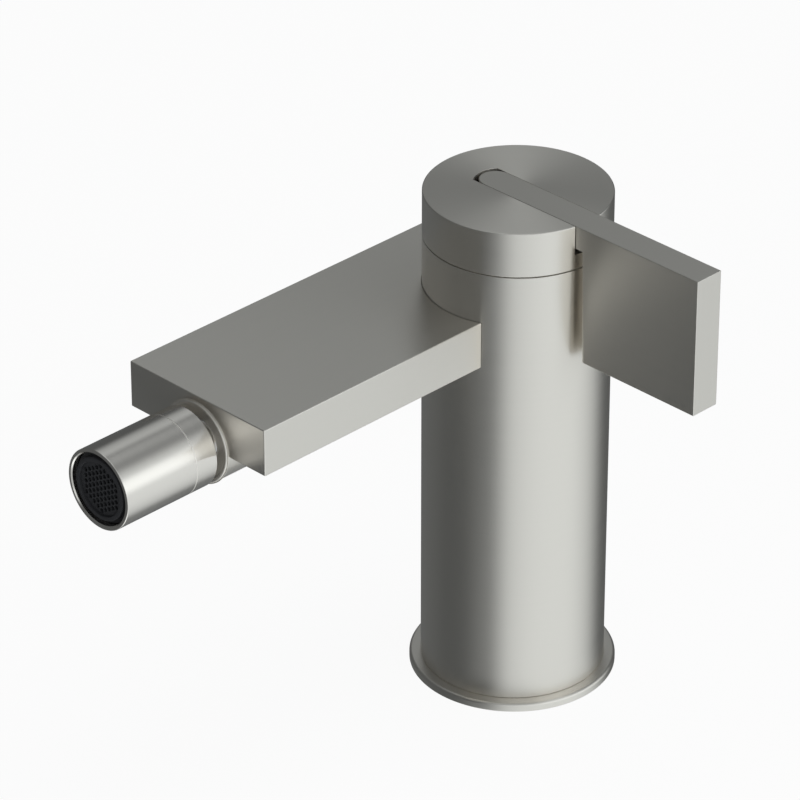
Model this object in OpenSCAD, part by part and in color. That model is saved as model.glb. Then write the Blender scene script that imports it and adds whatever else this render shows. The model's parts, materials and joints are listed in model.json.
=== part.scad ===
// Bidet mixer: a round deck-mounted body with a flat bar spout set off to one side, a ball-jointed
// nozzle on the bar's front, and a flag-shaped lever that lies in a slot of the turning cap.
// The origin is the centre of the foot on the deck. The spout points to -Y, the lever to +X, +Z is up.

/* [Body] */
// Outer radius of the round body and of the cap
body_r = 25; // [24.6:0.1:26]
// Wall of the outer shell
shell_t = 2.5; // [2.3:0.1:2.8]
// Height of the shell's top edge above the deck
body_top = 131.2; // [130:0.1:136]
// Break on the shell's and the cap's lower edges
small_edge = 0.25; // [0.1:0.05:0.4]
// Radius of the cast core's waist
waist_r = 19; // [16:0.5:21]
// Height of the core's foot, up to its waist
foot_h = 26; // [22:1:40]
// Metal left under the cartridge before the waist starts
floor_t = 8; // [6:0.5:14]
// Height of the core's underside above the deck
core_lift = 0.5; // [0.2:0.1:1]

/* [Base ring] */
// How far the base ring stands out past the body
base_over = 3.1; // [2:0.1:5]
// Thickness of the base ring
base_h = 2.4; // [2:0.1:4]
// Height of the rounded lip on the base ring's rim
base_lip = 0.8; // [0.3:0.1:1.2]
// Width of the rubber seal under the base ring
seal_w = 2.4; // [1.6:0.1:2.8]
// Depth of the seal's groove
seal_h = 1.2; // [0.8:0.1:1.4]
// Distance of the seal from the core's foot
seal_out = 1.7; // [1.4:0.1:2]

/* [Connections] */
// Radius of the fixing stud's tapped hole, for an M8 thread
stud_r = 3.4; // [3.3:0.1:4]
// Depth of the stud's hole
stud_depth = 20; // [12:1:24]
// Distance of the stud's hole from the body's axis, away from the lever
stud_x = 9; // [8:0.5:11]
// Radius of the hose inlets' tapped holes, for M10 threads
hose_r = 4.5; // [4.2:0.1:4.7]
// Depth of the hose inlets' threads
hose_depth = 14; // [10:1:18]
// Distance of each hose inlet from the plane through spout and body
hose_y = 7.5; // [6.5:0.1:9]

/* [Spout bar] */
// Width of the spout bar
spout_w = 49.5; // [46:0.1:52]
// Thickness of the spout bar
spout_t = 13.3; // [12.6:0.1:15]
// Distance from the body's axis to the bar's front face
spout_reach = 100.3; // [92:0.1:120]
// Distance from the body's axis to the bar's hidden back end
spout_back = 20; // [14:0.5:22]
// Sideways distance of the bar's centre line from the body's axis
spout_shift = 15.25; // [14.8:0.05:15.6]
// Height of the bar's underside above the deck
spout_z = 103.8; // [101:0.1:104.4]
// Bevel on the bar's edges
spout_bevel = 0.35; // [0.1:0.05:0.8]
// Radius of the waterway drilled along the bar
water_r = 3; // [2.5:0.1:3.4]
// Height of the waterway above the bar's underside
water_rise = 5.2; // [5:0.1:5.6]
// Sideways distance of the waterway from the bar's centre line
water_side = 5; // [4.6:0.1:5.4]

/* [Outlet nipple] */
// Outer radius of the nipple between core and bar
nipple_r = 4.2; // [4:0.1:4.4]
// Wall of the nipple
nipple_t = 1.4; // [1:0.1:1.8]
// Distance from the body's axis to the nipple's inner end
nipple_in = 15.3; // [15.1:0.1:15.6]
// Distance from the body's axis to the nipple's outer end
nipple_out = 31; // [29.5:0.5:36]
// Thickness of the nipple's sealing rings
nipple_seal = 1.2; // [0.8:0.1:1.4]
// Distance of the inner sealing ring from the nipple's inner end
seal_start = 0.3; // [0.2:0.1:0.5]
// Distance of the outer sealing ring from the nipple's outer end
seal_stop = 1.4; // [1:0.1:2]

/* [Cap] */
// Height of the turning cap
cap_h = 12.5; // [12.3:0.1:14]
// Gap of the seam between body and cap
seam_gap = 0.3; // [0.2:0.05:0.5]
// Bevel on the cap's top edge
cap_bevel = 0.4; // [0.2:0.05:0.8]
// Thickness of the cap's top
cap_top_t = 1.8; // [1.4:0.1:2]
// Radius of the pocket under the cap's top
pocket_r = 17.5; // [17:0.1:18]
// Wall of the cap around the spindle's flange
cap_wall = 3; // [2.6:0.1:3.1]
// Height of the ledge in the cap, which rests on the flange
ledge_h = 2.65; // [2.6:0.05:2.7]
// Radius of the slot's rounded inner end
slot_nose_r = 7.2; // [5.2:0.1:9]
// Gap on each side of the lever in the cap's slot
slot_side = 0.25; // [0.15:0.05:0.4]
// Gap between the tongue's inner end and the slot's end
slot_end_gap = 0.9; // [0.8:0.05:1.5]
// Gap between the tongue and the bottom of the slot's mouth
slot_under = 2.05; // [1:0.05:2.2]

/* [Lever] */
// Thickness of the lever's plate
lever_t = 8.8; // [8.4:0.1:9.2]
// Depth of the tongue that lies in the cap
tongue_h = 6.3; // [6.1:0.1:6.6]
// Distance from the body's axis to the tongue's rounded inner end
tongue_end = 12.6; // [12:0.1:13]
// Gap between the body and the lever's flag
flag_gap = 2.1; // [1:0.1:4]
// Width of the flag, away from the body
flag_w = 39.3; // [30:0.1:50]
// Height of the flag, from its lower edge to the cap's top
flag_h = 38.9; // [25:0.1:40]
// Bevel on the lever's edges
lever_bevel = 0.3; // [0.1:0.05:0.6]
// Largest lift of the lever, in degrees
lift_max = 15; // [8:1:15]

/* [Lever pivot] */
// Radius of the pivot screw's shank
pin_r = 1.6; // [1.3:0.05:1.65]
// Depth of the pivot's axis below the cap's top
pivot_drop = 4.5; // [4.3:0.05:4.6]
// Thickness of each ear that carries the pivot
ear_t = 5; // [3:0.1:6]
// Half width of the ears along the lever
ear_half = 4.6; // [3.6:0.1:6]
// Gap between the lever and each ear
ear_gap = 0.4; // [0.3:0.05:0.6]
// Radius of the pivot screw's head
screw_head_r = 2.3; // [2:0.05:2.4]
// Depth of the head below the cap's outer wall
head_sink = 1; // [0.5:0.1:2]
// Length of the pivot screw's head
head_len = 5; // [3:0.1:5.4]

/* [Drive stem] */
// Distance from the pivot down to the centre of the stem's ball tip
stem_len = 14; // [13.9:0.1:14.6]
// Radius of the stem's ball tip
tip_r = 2.2; // [1.9:0.05:2.3]
// Radius of the stem's shaft
shaft_r = 1.6; // [1.2:0.05:1.7]
// Width of the stem's flat head along the lever
blade_w = 6; // [5:0.1:6.4]
// Thickness of the stem's flat head
blade_t = 3.8; // [3:0.1:4]
// Distance from the pivot down to the lower end of the flat head
blade_drop = 5.5; // [5.3:0.1:5.8]
// Metal left in the lever above the stem's head
blade_skin = 1.9; // [1.4:0.1:2.2]

/* [Spindle] */
// Radius of the spindle's journal
journal_r = 10.9; // [10.6:0.1:11.1]
// Thickness of the spindle's flange
flange_t = 1.9; // [1.7:0.05:2]
// Turn of the cap to each side of the middle, in degrees
turn_max = 45; // [30:1:50]
// Radius of the pin that stops the turn
stop_pin_r = 1; // [0.8:0.05:1.1]
// Depth of the stop pin in the core
stop_pin_deep = 6; // [4:0.5:9]
// Radius of the cap screws' shanks
cap_screw_r = 1.1; // [0.9:0.05:1.2]
// Length of the cap screws' shanks above the flange's underside
cap_screw_len = 6; // [5:0.1:7]
// Angle of each cap screw from the lever, in degrees
cap_screw_a = 60; // [45:1:62]
// How far the cap screws' heads stand out past their shanks
screw_head_over = 0.6; // [0.4:0.1:0.8]
// Height of the cap screws' heads
screw_head_h = 1; // [0.8:0.1:1.2]

/* [Cartridge] */
// Outer radius of the cartridge
cart_r = 14; // [13.8:0.1:14.2]
// Radius of the housing's neck
neck_r = 12.3; // [12.1:0.1:12.6]
// Radius of the chamber that holds the discs
chamber_r = 12; // [11.9:0.1:12.2]
// Outer radius of the ring nut
nut_r = 16.4; // [15.8:0.1:16.8]
// Height of the ring nut
nut_h = 3.3; // [2.8:0.1:3.5]
// Width of the ring nut's tool slots
ring_slot_w = 3; // [2:0.1:4]
// Depth of the ring nut's tool slots
ring_slot_deep = 1.4; // [1:0.1:2]
// Metal left between the tool slots and the ring nut's bore
ring_slot_wall = 1.8; // [1.2:0.1:2.4]
// Height of the disc carrier above the ball tip's centre
tip_cover = 1.5; // [1.2:0.1:1.8]
// Height of the disc carrier
carrier_h = 4.4; // [4.1:0.1:4.8]
// Thickness of the carrier's two guide ribs
rib_t = 2; // [1.6:0.1:2.4]
// Half length of the guide ribs
rib_half = 3.4; // [3:0.1:3.6]
// Height of the guide ribs
rib_h = 1.2; // [0.8:0.1:1.4]
// Distance of each guide rib from the spindle's edge
rib_in = 4; // [3.8:0.1:4.4]
// Thickness of the moving disc
disc_move_t = 3.1; // [2.6:0.1:3.6]
// Thickness of the fixed disc
disc_fix_t = 3.9; // [3.2:0.1:4.4]
// Depth of the mixing chamber in the moving disc
mix_depth = 1.6; // [1:0.1:2]
// Distance from the moving disc's middle to the middle of the mixing chamber
mix_back = 2.4; // [2:0.1:2.8]
// Distance from the moving disc's middle to the chamber's front lobes
mix_front = 1; // [0.6:0.1:1.4]
// Distance of each front lobe from the disc's middle line
mix_side = 3; // [2.6:0.1:3.4]
// Radius of the hot and cold ports
inlet_r = 2.4; // [2:0.1:2.6]
// Distance of the inlet ports from the axis, towards the lever
inlet_x = 5.5; // [5.2:0.1:5.8]
// Distance of each inlet port from the lever's plane
inlet_y = 5.2; // [4.9:0.1:5.5]
// Radius of the mixed water's port
mixed_r = 2.8; // [2.2:0.1:3]
// Distance of the mixed water's port from the axis
mixed_x = 6.5; // [6:0.1:7]
// Radius of the gallery from the cartridge to the nipple
gallery_r = 2.6; // [2.2:0.1:2.7]
// Half the height of the cartridge base's outlet part
gallery_half = 3; // [2.9:0.1:3.3]
// Thickness of the cartridge's sealing ring
cart_seal = 1.36; // [1.1:0.02:1.5]
// Thickness of the inlet ports' sealing rings
port_seal = 1.1; // [0.8:0.05:1.2]
// Distance of those rings' centre lines from the ports' walls
port_seal_out = 0.9; // [0.8:0.05:1]
// Height of the cartridge's sealing ring above the housing's lower edge
cart_seal_up = 1; // [0.8:0.1:1.4]

/* [Nozzle mount] */
// Outer radius of the round boss under the bar
boss_r = 11.3; // [11.1:0.1:11.5]
// Length of the boss, back from the bar's front face
boss_len = 30.3; // [27:0.1:40]
// Radius of the boss's front lip
lip_r = 12; // [11.8:0.1:12.4]
// How far the lip stands out from the bar's front face
lip_h = 0.6; // [0.3:0.1:1]
// Radius of the mouth inside the lip
mouth_r = 10.35; // [10.1:0.05:10.5]
// Outer radius of the swivel nut
swivel_nut_r = 9.85; // [9.7:0.05:9.95]
// Length of the swivel nut
swivel_nut_len = 6.4; // [6:0.1:6.6]
// Radius of the opening in the swivel nut's front
nut_open_r = 7; // [6.9:0.05:7.3]
// Width of the swivel nut's tool slots
nut_slot_w = 1.6; // [1.2:0.1:2]
// Depth of the swivel nut's tool slots
nut_slot_deep = 1.2; // [0.8:0.1:1.6]
// Radius of the ball seat's bore in the boss
seat_bore_r = 9.4; // [9.2:0.05:9.5]
// Length of the ball seat behind the ball's centre
seat_len = 5.4; // [5:0.1:5.6]
// Radius of the water space behind the ball seat
rear_bore_r = 8.4; // [8:0.1:8.7]
// Thickness of the rubber washer behind the ball seat
swivel_washer_t = 1.7; // [1.2:0.1:2.2]
// How far that washer reaches inwards past the bore behind it
washer_over = 1.6; // [1:0.1:2]
// Thickness of the boss's rear wall
boss_wall = 3; // [2:0.1:4]
// Radius of the port in the boss's rear wall
port_r = 2.4; // [2:0.1:2.8]

/* [Nozzle] */
// Radius of the swivelling ball
ball_r = 8.2; // [8:0.05:8.3]
// Distance of the ball's centre behind the bar's front face
ball_set = 6.8; // [6.6:0.1:7]
// Radius of the ball's neck
neck_ball_r = 5.2; // [4.4:0.1:5.4]
// Radius of the water passage through the ball
ball_bore_r = 3.4; // [2.8:0.1:3.8]
// Length of the ball left behind its centre
ball_tail = 5.6; // [5.2:0.1:5.7]
// Outer radius of the nozzle
nozzle_r = 11.05; // [10.8:0.05:11.2]
// Gap between the bar's front face and the nozzle's rear end
nozzle_gap = 3.3; // [3.1:0.1:4]
// Length of the nozzle's rear sleeve
rear_sleeve = 6.9; // [6:0.1:9]
// Length of the nozzle's front sleeve
front_sleeve = 23.4; // [22.4:0.1:30]
// Bevel on the sleeves' edges
sleeve_bevel = 0.3; // [0.1:0.05:0.5]
// Largest tilt of the nozzle, in degrees
tilt_max = 12; // [8:1:12]
// Radius of the joining thread between the two sleeves
spigot_r = 9.4; // [9:0.05:9.5]
// Length of the joining thread
spigot_len = 4.9; // [4.5:0.1:5.6]
// Depth of the rear sleeve's front recess, behind its joint
recess_deep = 1.4; // [1:0.1:2]
// Depth of the rear sleeve's recess round the neck
neck_recess = 0.8; // [0.5:0.1:1.2]
// Thickness of the flat ring between the sleeves
joint_seal_t = 0.8; // [0.5:0.1:1.2]
// Thickness of the front sleeve's inner shoulder
shoulder_t = 1.8; // [1.4:0.1:2.4]
// Radius of the opening in that shoulder
shoulder_r = 7.4; // [6.8:0.1:7.8]

/* [Aerator] */
// Radius of the bore that holds the aerator
aerator_bore_r = 9.85; // [9.7:0.05:10]
// Width of the bevel inside the nozzle's rim
rim_bevel = 0.3; // [0.2:0.05:0.7]
// Distance of the aerator's front ring behind the rim
aerator_sink = 0.7; // [0.5:0.1:1.2]
// Length of the aerator's cage
cage_len = 13.3; // [12.8:0.1:13.5]
// Wall of the aerator's cage
cage_t = 2.3; // [2:0.05:2.4]
// Outer radius of the cage's front collar, which stands clear of the bore
collar_r = 8.65; // [8.4:0.05:9]
// Length of that collar
collar_h = 1.6; // [1:0.1:2.4]
// Distance of the grid behind the cage's front ring
grid_sink = 0.3; // [0.2:0.1:0.6]
// Thickness of the grid
grid_t = 2.4; // [1.6:0.1:3]
// Radius of the grid's perforated field
grid_field_r = 7.2; // [6:0.1:7.3]
// Spacing of the grid's cells
cell_pitch = 1.6; // [1.5:0.05:2]
// Width of a wall between two cells
cell_wall = 0.42; // [0.3:0.02:0.5]
// Thickness of the flow regulator
regulator_t = 3; // [2.4:0.1:3.4]
// Radius of the flow regulator's holes
regulator_hole_r = 0.6; // [0.4:0.05:0.8]
// Width of the flow regulator's rim
regulator_rim = 1.4; // [1:0.1:2]
// Thickness of the flow regulator's floor
regulator_floor = 1; // [0.8:0.1:1.4]
// Distance between the filter screen and the flow regulator
regulator_gap = 2; // [1:0.1:2.4]
// Number of holes in the flow regulator
regulator_holes = 8; // [6:1:10]
// Thickness of the filter screen
screen_t = 0.8; // [0.5:0.1:1]
// Width of the cage's ledge that the filter screen lies in
screen_ledge = 0.4; // [0.2:0.1:0.6]
// Thickness of the washer behind the aerator
washer_t = 1.6; // [1.2:0.1:2]

/* [Fits] */
// Gap between faces that seat on each other
seat_fit = 0.05; // [0.02:0.01:0.08]
// Radial play of parts that slip together
slip_fit = 0.1; // [0.06:0.01:0.12]
// Radial play of shafts and balls that move
run_fit = 0.08; // [0.05:0.01:0.1]
// Gap between faces of parts that move past each other
rub_gap = 0.3; // [0.2:0.05:0.4]

/* [Hidden] */
$fn = 72;
// Reach of a cutting shape past the face that it opens
past = 1;

// Heights of the cap and the lever
cap_bottom = body_top + seam_gap;
cap_top = cap_bottom + cap_h;
ceiling_z = cap_top - cap_top_t;
ledge_z = cap_bottom + ledge_h;
tongue_z = cap_top - tongue_h;
mouth_z = tongue_z - slot_under;
pivot_z = cap_top - pivot_drop;
flag_x = body_r + flag_gap;
lever_x = flag_x + flag_w;
slot_half = lever_t / 2 + slot_side;
slot_end = tongue_end + slot_end_gap;

// Heights of the spindle and the ring nut
flange_top = ledge_z - seat_fit;
flange_bottom = flange_top - flange_t;
flange_r = body_r - cap_wall - slip_fit;
nut_top = flange_bottom - rub_gap;
nut_bottom = nut_top - nut_h;
ear_in = lever_t / 2 + ear_gap;
ear_out = ear_in + ear_t;
ear_top = ceiling_z - 4 * seat_fit;

// Heights of the stem, the carrier and the discs
tip_z = pivot_z - stem_len;
carrier_top = tip_z + tip_cover;
roof_z = carrier_top + rub_gap;
carrier_bottom = carrier_top - carrier_h;
disc_move_z = carrier_bottom - disc_move_t;
disc_fix_top = disc_move_z - seat_fit;
disc_fix_z = disc_fix_top - disc_fix_t;
insert_top = disc_fix_z - seat_fit;
travel = stem_len * lift_max * PI / 180;
slide_r = chamber_r - travel / 2 - 2 * slip_fit;
slide_x = -travel / 2;
rib_y = journal_r - rib_in;

// The core, its bores and the waterway
core_r = body_r - shell_t - slip_fit;
core_top = body_top - 4 * seat_fit;
cavity_r = cart_r + slip_fit;
water_x = water_side - spout_shift;
water_z = spout_z + water_rise;
floor_z = water_z - gallery_half;
split_z = water_z + gallery_half;
rim_r = (nut_r + core_r) / 2;
inlets = [[inlet_x, inlet_y], [inlet_x, -inlet_y]];
hoses = [[inlet_x, hose_y], [inlet_x, -hose_y]];

// The base ring
base_r = body_r + base_over;
groove_in = core_r + seal_out;
groove_out = groove_in + seal_w;

// Distances along the nozzle's axis, counted forwards from the body's axis
front_w = spout_reach;
lip_w = front_w + lip_h;
boss_w = front_w - boss_len;
ball_w = front_w - ball_set;
nut_front_w = ball_w + swivel_nut_len;
seat_back_w = ball_w - seat_len;
washer_back_w = seat_back_w - seat_fit - swivel_washer_t;
sleeve_w = front_w + nozzle_gap;
joint_w = sleeve_w + rear_sleeve;
spigot_w = joint_w + spigot_len;
shoulder_w = spigot_w + joint_seal_t + 2 * seat_fit;
bore_w = shoulder_w + shoulder_t;
rim_w = joint_w + front_sleeve;
cage_front_w = rim_w - aerator_sink;
cage_back_w = cage_front_w - cage_len;
cage_r = aerator_bore_r - slip_fit;
cage_in_r = cage_r - cage_t;
grid_w = cage_front_w - grid_sink - grid_t;
screen_w = cage_back_w + seat_fit;
screen_top_w = screen_w + screen_t + seat_fit;
regulator_w = screen_w + screen_t + regulator_gap;

// Round bar from z0 to z1
module rod(r, z0, z1) {
    translate([0, 0, z0]) cylinder(r = r, h = z1 - z0);
}

// Round tube from z0 to z1
module tube(r_in, r_out, z0, z1) {
    difference() {
        rod(r_out, z0, z1);
        rod(r_in, z0 - past, z1 + past);
    }
}

// Round ring of round section
module round_ring(r, s, z) {
    translate([0, 0, z]) rotate_extrude() translate([r, 0]) circle(r = s / 2, $fn = 32);
}

// Solid turned from an outline of radius and height
module turned(points) {
    rotate_extrude() polygon(points);
}

// Block between two heights and two half widths
module block(x0, x1, y0, y1, z0, z1) {
    translate([x0, y0, z0]) cube([x1 - x0, y1 - y0, z1 - z0]);
}

// Outline of a rectangle with cut corners, centred
module cut_corners(a, b, c) {
    polygon([[c - a, -b], [a - c, -b], [a, c - b], [a, b - c], [a - c, b], [c - a, b], [-a, b - c],
        [-a, c - b]]);
}

// Block with every edge bevelled
module bevel_block(x0, x1, y0, y1, z0, z1, c) {
    a = (x1 - x0) / 2;
    b = (y1 - y0) / 2;
    h = (z1 - z0) / 2;
    translate([x0 + a, y0 + b, z0 + h]) intersection() {
        linear_extrude(2 * h, center = true) cut_corners(a, b, c);
        rotate([90, 0, 0]) linear_extrude(2 * b, center = true) cut_corners(a, h, c);
        rotate([90, 0, 90]) linear_extrude(2 * a, center = true) cut_corners(b, h, c);
    }
}

// Puts a shape drawn along +Z on an axis that runs forwards, to -Y
module forwards(x, z) {
    translate([x, 0, z]) rotate([90, 0, 0]) children();
}

// Puts a shape drawn along +Z on the nozzle's axis
module on_nozzle() {
    forwards(-spout_shift, spout_z) children();
}

module base_ring() {
    color("#b5b2ab") difference() {
        turned([[core_r + slip_fit, 0], [base_r - small_edge, 0], [base_r, small_edge],
            [base_r, base_h - base_lip], [base_r - base_lip / 3, base_h - base_lip / 4],
            [base_r - base_lip, base_h], [core_r + slip_fit, base_h]]);
        tube(groove_in - slip_fit, groove_out + slip_fit, -past, seal_h);
    }
}

module base_seal() {
    color("#2b2b2b") tube(groove_in, groove_out, 0, seal_h - seat_fit);
}

module body_shell() {
    r_in = body_r - shell_t;
    z0 = base_h + seat_fit;
    color("#b5b2ab") difference() {
        turned([[r_in, z0], [body_r - small_edge, z0], [body_r, z0 + small_edge],
            [body_r, body_top - small_edge], [body_r - small_edge, body_top], [glide_out + slip_fit, body_top], [glide_out + slip_fit, glide_z],
            [r_in, glide_z]]);
        forwards(water_x, water_z) rod(nipple_r + rub_gap, 0, body_r + past);
    }
}

// The glide ring's place in the shell's top edge
glide_z = body_top - 1;
glide_out = body_r - shell_t / 2;

module glide_ring() {
    color("#e9e6df") tube(body_r - shell_t + slip_fit, glide_out, glide_z + seat_fit, cap_bottom - seat_fit);
}

module valve_body() {
    color("#b8924f") difference() {
        union() {
            rod(core_r, core_lift, foot_h);
            rod(waist_r, foot_h - past, floor_z - floor_t + past);
            rod(core_r, floor_z - floor_t, core_top);
        }
        rod(cavity_r, floor_z, core_top + past);
        rod(nut_r + seat_fit, nut_bottom, core_top + past);
        for (p = inlets) translate([p[0], p[1], 0]) rod(inlet_r, hose_depth, floor_z + past);
        for (p = hoses) translate([p[0], p[1], 0]) rod(hose_r, core_lift - past, core_lift + hose_depth);
        translate([-stud_x, 0, 0]) rod(stud_r, core_lift - past, core_lift + stud_depth);
        forwards(water_x, water_z) rod(gallery_r, 0, body_r);
        forwards(water_x, water_z) rod(nipple_r + seat_fit, nipple_in - seat_fit, body_r);
        translate([-rim_r, 0, 0]) rod(stop_pin_r + seat_fit / 2, core_top - stop_pin_deep, core_top + past);
    }
}

module stop_pin() {
    color("#8d8d8d") translate([-rim_r, 0, 0])
        rod(stop_pin_r, core_top - stop_pin_deep + seat_fit, flange_top - 4 * seat_fit);
}

module spout_bar() {
    color("#b5b2ab") difference() {
        bevel_block(-spout_shift - spout_w / 2, spout_w / 2 - spout_shift, -spout_reach, spout_back,
            spout_z, spout_z + spout_t, spout_bevel);
        rod(body_r + seat_fit, spout_z - past, spout_z + spout_t + past);
        on_nozzle() rod(boss_r + seat_fit, boss_w - seat_fit, front_w + past);
        forwards(water_x, water_z) rod(water_r, 0, boss_w);
        forwards(water_x, water_z) rod(nipple_r + seat_fit, 0, nipple_out + seat_fit);
    }
}

module outlet_nipple() {
    color("#c9a25c") forwards(water_x, water_z) difference() {
        tube(nipple_r - nipple_t, nipple_r, nipple_in, nipple_out);
        for (w = nipple_rings) tube(nipple_groove_r, nipple_r + past, w - nipple_seal / 2 - seat_fit,
            w + nipple_seal / 2 + seat_fit);
    }
}

// The sealing rings' places on the nipple
nipple_rings = [nipple_in + nipple_seal / 2 + seal_start, nipple_out - nipple_seal / 2 - seal_stop];
nipple_groove_r = nipple_r - nipple_seal * 0.7;

module nipple_seals() {
    color("#2b2b2b") forwards(water_x, water_z)
        for (w = nipple_rings) tube(nipple_groove_r, nipple_r, w - nipple_seal / 2, w + nipple_seal / 2);
}

module nozzle_boss() {
    lip_back = front_w + seat_fit;
    color("#b5b2ab") on_nozzle() difference() {
        union() {
            turned([[0, boss_w], [boss_r - spout_bevel, boss_w], [boss_r, boss_w + spout_bevel],
                [boss_r, lip_back + lip_h / 4], [0, lip_back + lip_h / 4]]);
            turned([[0, lip_back], [lip_r, lip_back], [lip_r, lip_w - lip_h / 2], [lip_r - lip_h / 2, lip_w],
                [0, lip_w]]);
        }
        rod(mouth_r, nut_front_w, lip_w + past);
        rod(swivel_nut_r + seat_fit, ball_w - seat_fit, lip_w);
        rod(seat_bore_r, washer_back_w - seat_fit, lip_w);
        rod(rear_bore_r, boss_w + boss_wall, lip_w);
        translate([water_side, water_rise, 0]) rod(port_r, boss_w - past, boss_w + boss_wall + past);
    }
}

module swivel_nut() {
    color("#8f8c86") on_nozzle() difference() {
        rod(swivel_nut_r, ball_w, nut_front_w);
        translate([0, 0, ball_w]) sphere(r = ball_r + run_fit);
        rod(nut_open_r, ball_w + ball_r / 2, nut_front_w + past);
        for (a = [0, 90]) rotate([0, 0, a]) block(-swivel_nut_r - past, swivel_nut_r + past, -nut_slot_w / 2,
            nut_slot_w / 2, nut_front_w - nut_slot_deep, nut_front_w + past);
    }
}

module ball_seat() {
    color("#ece8dd") on_nozzle() difference() {
        rod(seat_bore_r - run_fit, seat_back_w, ball_w - rub_gap);
        translate([0, 0, ball_w]) sphere(r = ball_r + run_fit);
    }
}

module swivel_washer() {
    r_in = rear_bore_r - washer_over;
    color("#2b2b2b") on_nozzle() tube(r_in, seat_bore_r - slip_fit, washer_back_w, seat_back_w - seat_fit);
}

module swivel_ball() {
    color("#a9a69f") on_nozzle() difference() {
        union() {
            intersection() {
                translate([0, 0, ball_w]) sphere(r = ball_r);
                rod(ball_r + past, ball_w - ball_tail, ball_w + ball_r + past);
            }
            rod(neck_ball_r, ball_w + ball_r / 2, joint_w - recess_deep - slip_fit);
        }
        rod(ball_bore_r, ball_w - ball_r - past, joint_w);
    }
}

module rear_sleeve_ring() {
    c = sleeve_bevel;
    color("#c2bfb8") on_nozzle() difference() {
        union() {
            turned([[0, sleeve_w], [nozzle_r - c, sleeve_w], [nozzle_r, sleeve_w + c], [nozzle_r, joint_w - c],
                [nozzle_r - c, joint_w], [0, joint_w]]);
            rod(spigot_r, joint_w - past, spigot_w);
        }
        rod(neck_ball_r + seat_fit, sleeve_w - past, spigot_w + past);
        rod(shoulder_r, joint_w - recess_deep, spigot_w + past);
        rod(shoulder_r, sleeve_w - past, sleeve_w + neck_recess);
    }
}

module joint_seal() {
    color("#2b2b2b") on_nozzle()
        tube(shoulder_r, spigot_r - slip_fit, spigot_w + seat_fit, shoulder_w - seat_fit);
}

module front_sleeve_ring() {
    c = sleeve_bevel;
    color("#c2bfb8") on_nozzle() difference() {
        turned([[shoulder_r, joint_w + seat_fit], [nozzle_r - c, joint_w + seat_fit],
            [nozzle_r, joint_w + seat_fit + c], [nozzle_r, rim_w - c], [nozzle_r - c, rim_w],
            [shoulder_r, rim_w]]);
        rod(spigot_r + seat_fit, joint_w - past, shoulder_w);
        rod(aerator_bore_r, bore_w, rim_w + past);
        turned([[0, rim_w - rim_bevel], [aerator_bore_r, rim_w - rim_bevel],
            [aerator_bore_r + rim_bevel, rim_w], [aerator_bore_r + rim_bevel, rim_w + past], [0, rim_w + past]]);
    }
}

module aerator_washer() {
    color("#2b2b2b") on_nozzle() tube(shoulder_r, cage_r, bore_w + seat_fit, bore_w + seat_fit + washer_t);
}

module aerator_cage() {
    color("#1d1d1f") on_nozzle() difference() {
        turned([[cage_in_r - screen_ledge, cage_back_w], [cage_r, cage_back_w],
            [cage_r, cage_front_w - collar_h], [collar_r, cage_front_w - collar_h], [collar_r, cage_front_w - small_edge],
            [collar_r - small_edge, cage_front_w], [cage_in_r, cage_front_w], [cage_in_r, screen_top_w],
            [cage_in_r - screen_ledge, screen_top_w]]);
    }
}

// Centres of a honeycomb's cells inside a round field
function cells(pitch, field_r) = [for (i = [-12:12]) for (j = [-12:12])
    let (x = pitch * j * sqrt(3) / 2, y = pitch * (i + j / 2))
    if (norm([x, y]) < field_r - pitch / 2) [x, y]];

module aerator_grid() {
    color("#232326") on_nozzle() difference() {
        rod(cage_in_r - seat_fit, grid_w, grid_w + grid_t);
        for (p = cells(cell_pitch, grid_field_r)) translate([p[0], p[1], grid_w - past])
            cylinder(r = (cell_pitch - cell_wall) / sqrt(3), h = grid_t + 2 * past, $fn = 6);
    }
}

module flow_regulator() {
    color("#cfcac0") on_nozzle() difference() {
        rod(cage_in_r - seat_fit, regulator_w, regulator_w + regulator_t);
        rod(cage_in_r - regulator_rim, regulator_w + regulator_floor, regulator_w + regulator_t + past);
        for (i = [1:regulator_holes]) rotate([0, 0, i * 360 / regulator_holes]) translate([cage_in_r / 2, 0, 0])
            rod(regulator_hole_r, regulator_w - past, regulator_w + regulator_t);
    }
}

module filter_screen() {
    color("#a7a39a") on_nozzle() difference() {
        rod(cage_in_r - screen_ledge - seat_fit, screen_w, screen_w + screen_t);
        for (p = cells(2 * cell_pitch, cage_in_r - 2 * screen_ledge)) translate([p[0], p[1], screen_w - past])
            cylinder(r = cell_pitch * 0.7, h = screen_t + 2 * past, $fn = 6);
    }
}

module cartridge_base() {
    ring_r = inlet_r + port_seal_out;
    color("#d8d5cd") difference() {
        union() {
            rod(cart_r, floor_z + seat_fit, split_z);
            rod(chamber_r - slip_fit, split_z - past, insert_top);
        }
        for (p = inlets) translate([p[0], p[1], 0]) {
            rod(inlet_r, floor_z - past, insert_top + past);
            tube(ring_r - port_seal / 2 - seat_fit, ring_r + port_seal / 2 + seat_fit, floor_z - past,
                floor_z + port_seal + 2 * seat_fit);
        }
        translate([-mixed_x, 0, 0]) rod(mixed_r, water_z, insert_top + past);
        forwards(water_x, water_z) rod(gallery_r, -gallery_r, cart_r + past);
    }
}

module port_seals() {
    ring_r = inlet_r + port_seal_out;
    color("#2b2b2b") for (p = inlets) translate([p[0], p[1], 0])
        round_ring(ring_r, port_seal, floor_z + port_seal / 2 + seat_fit);
}

// The sealing ring's place on the housing
cart_seal_z = split_z + cart_seal / 2 + cart_seal_up;
cart_groove_r = cavity_r - cart_seal - seat_fit;

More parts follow.
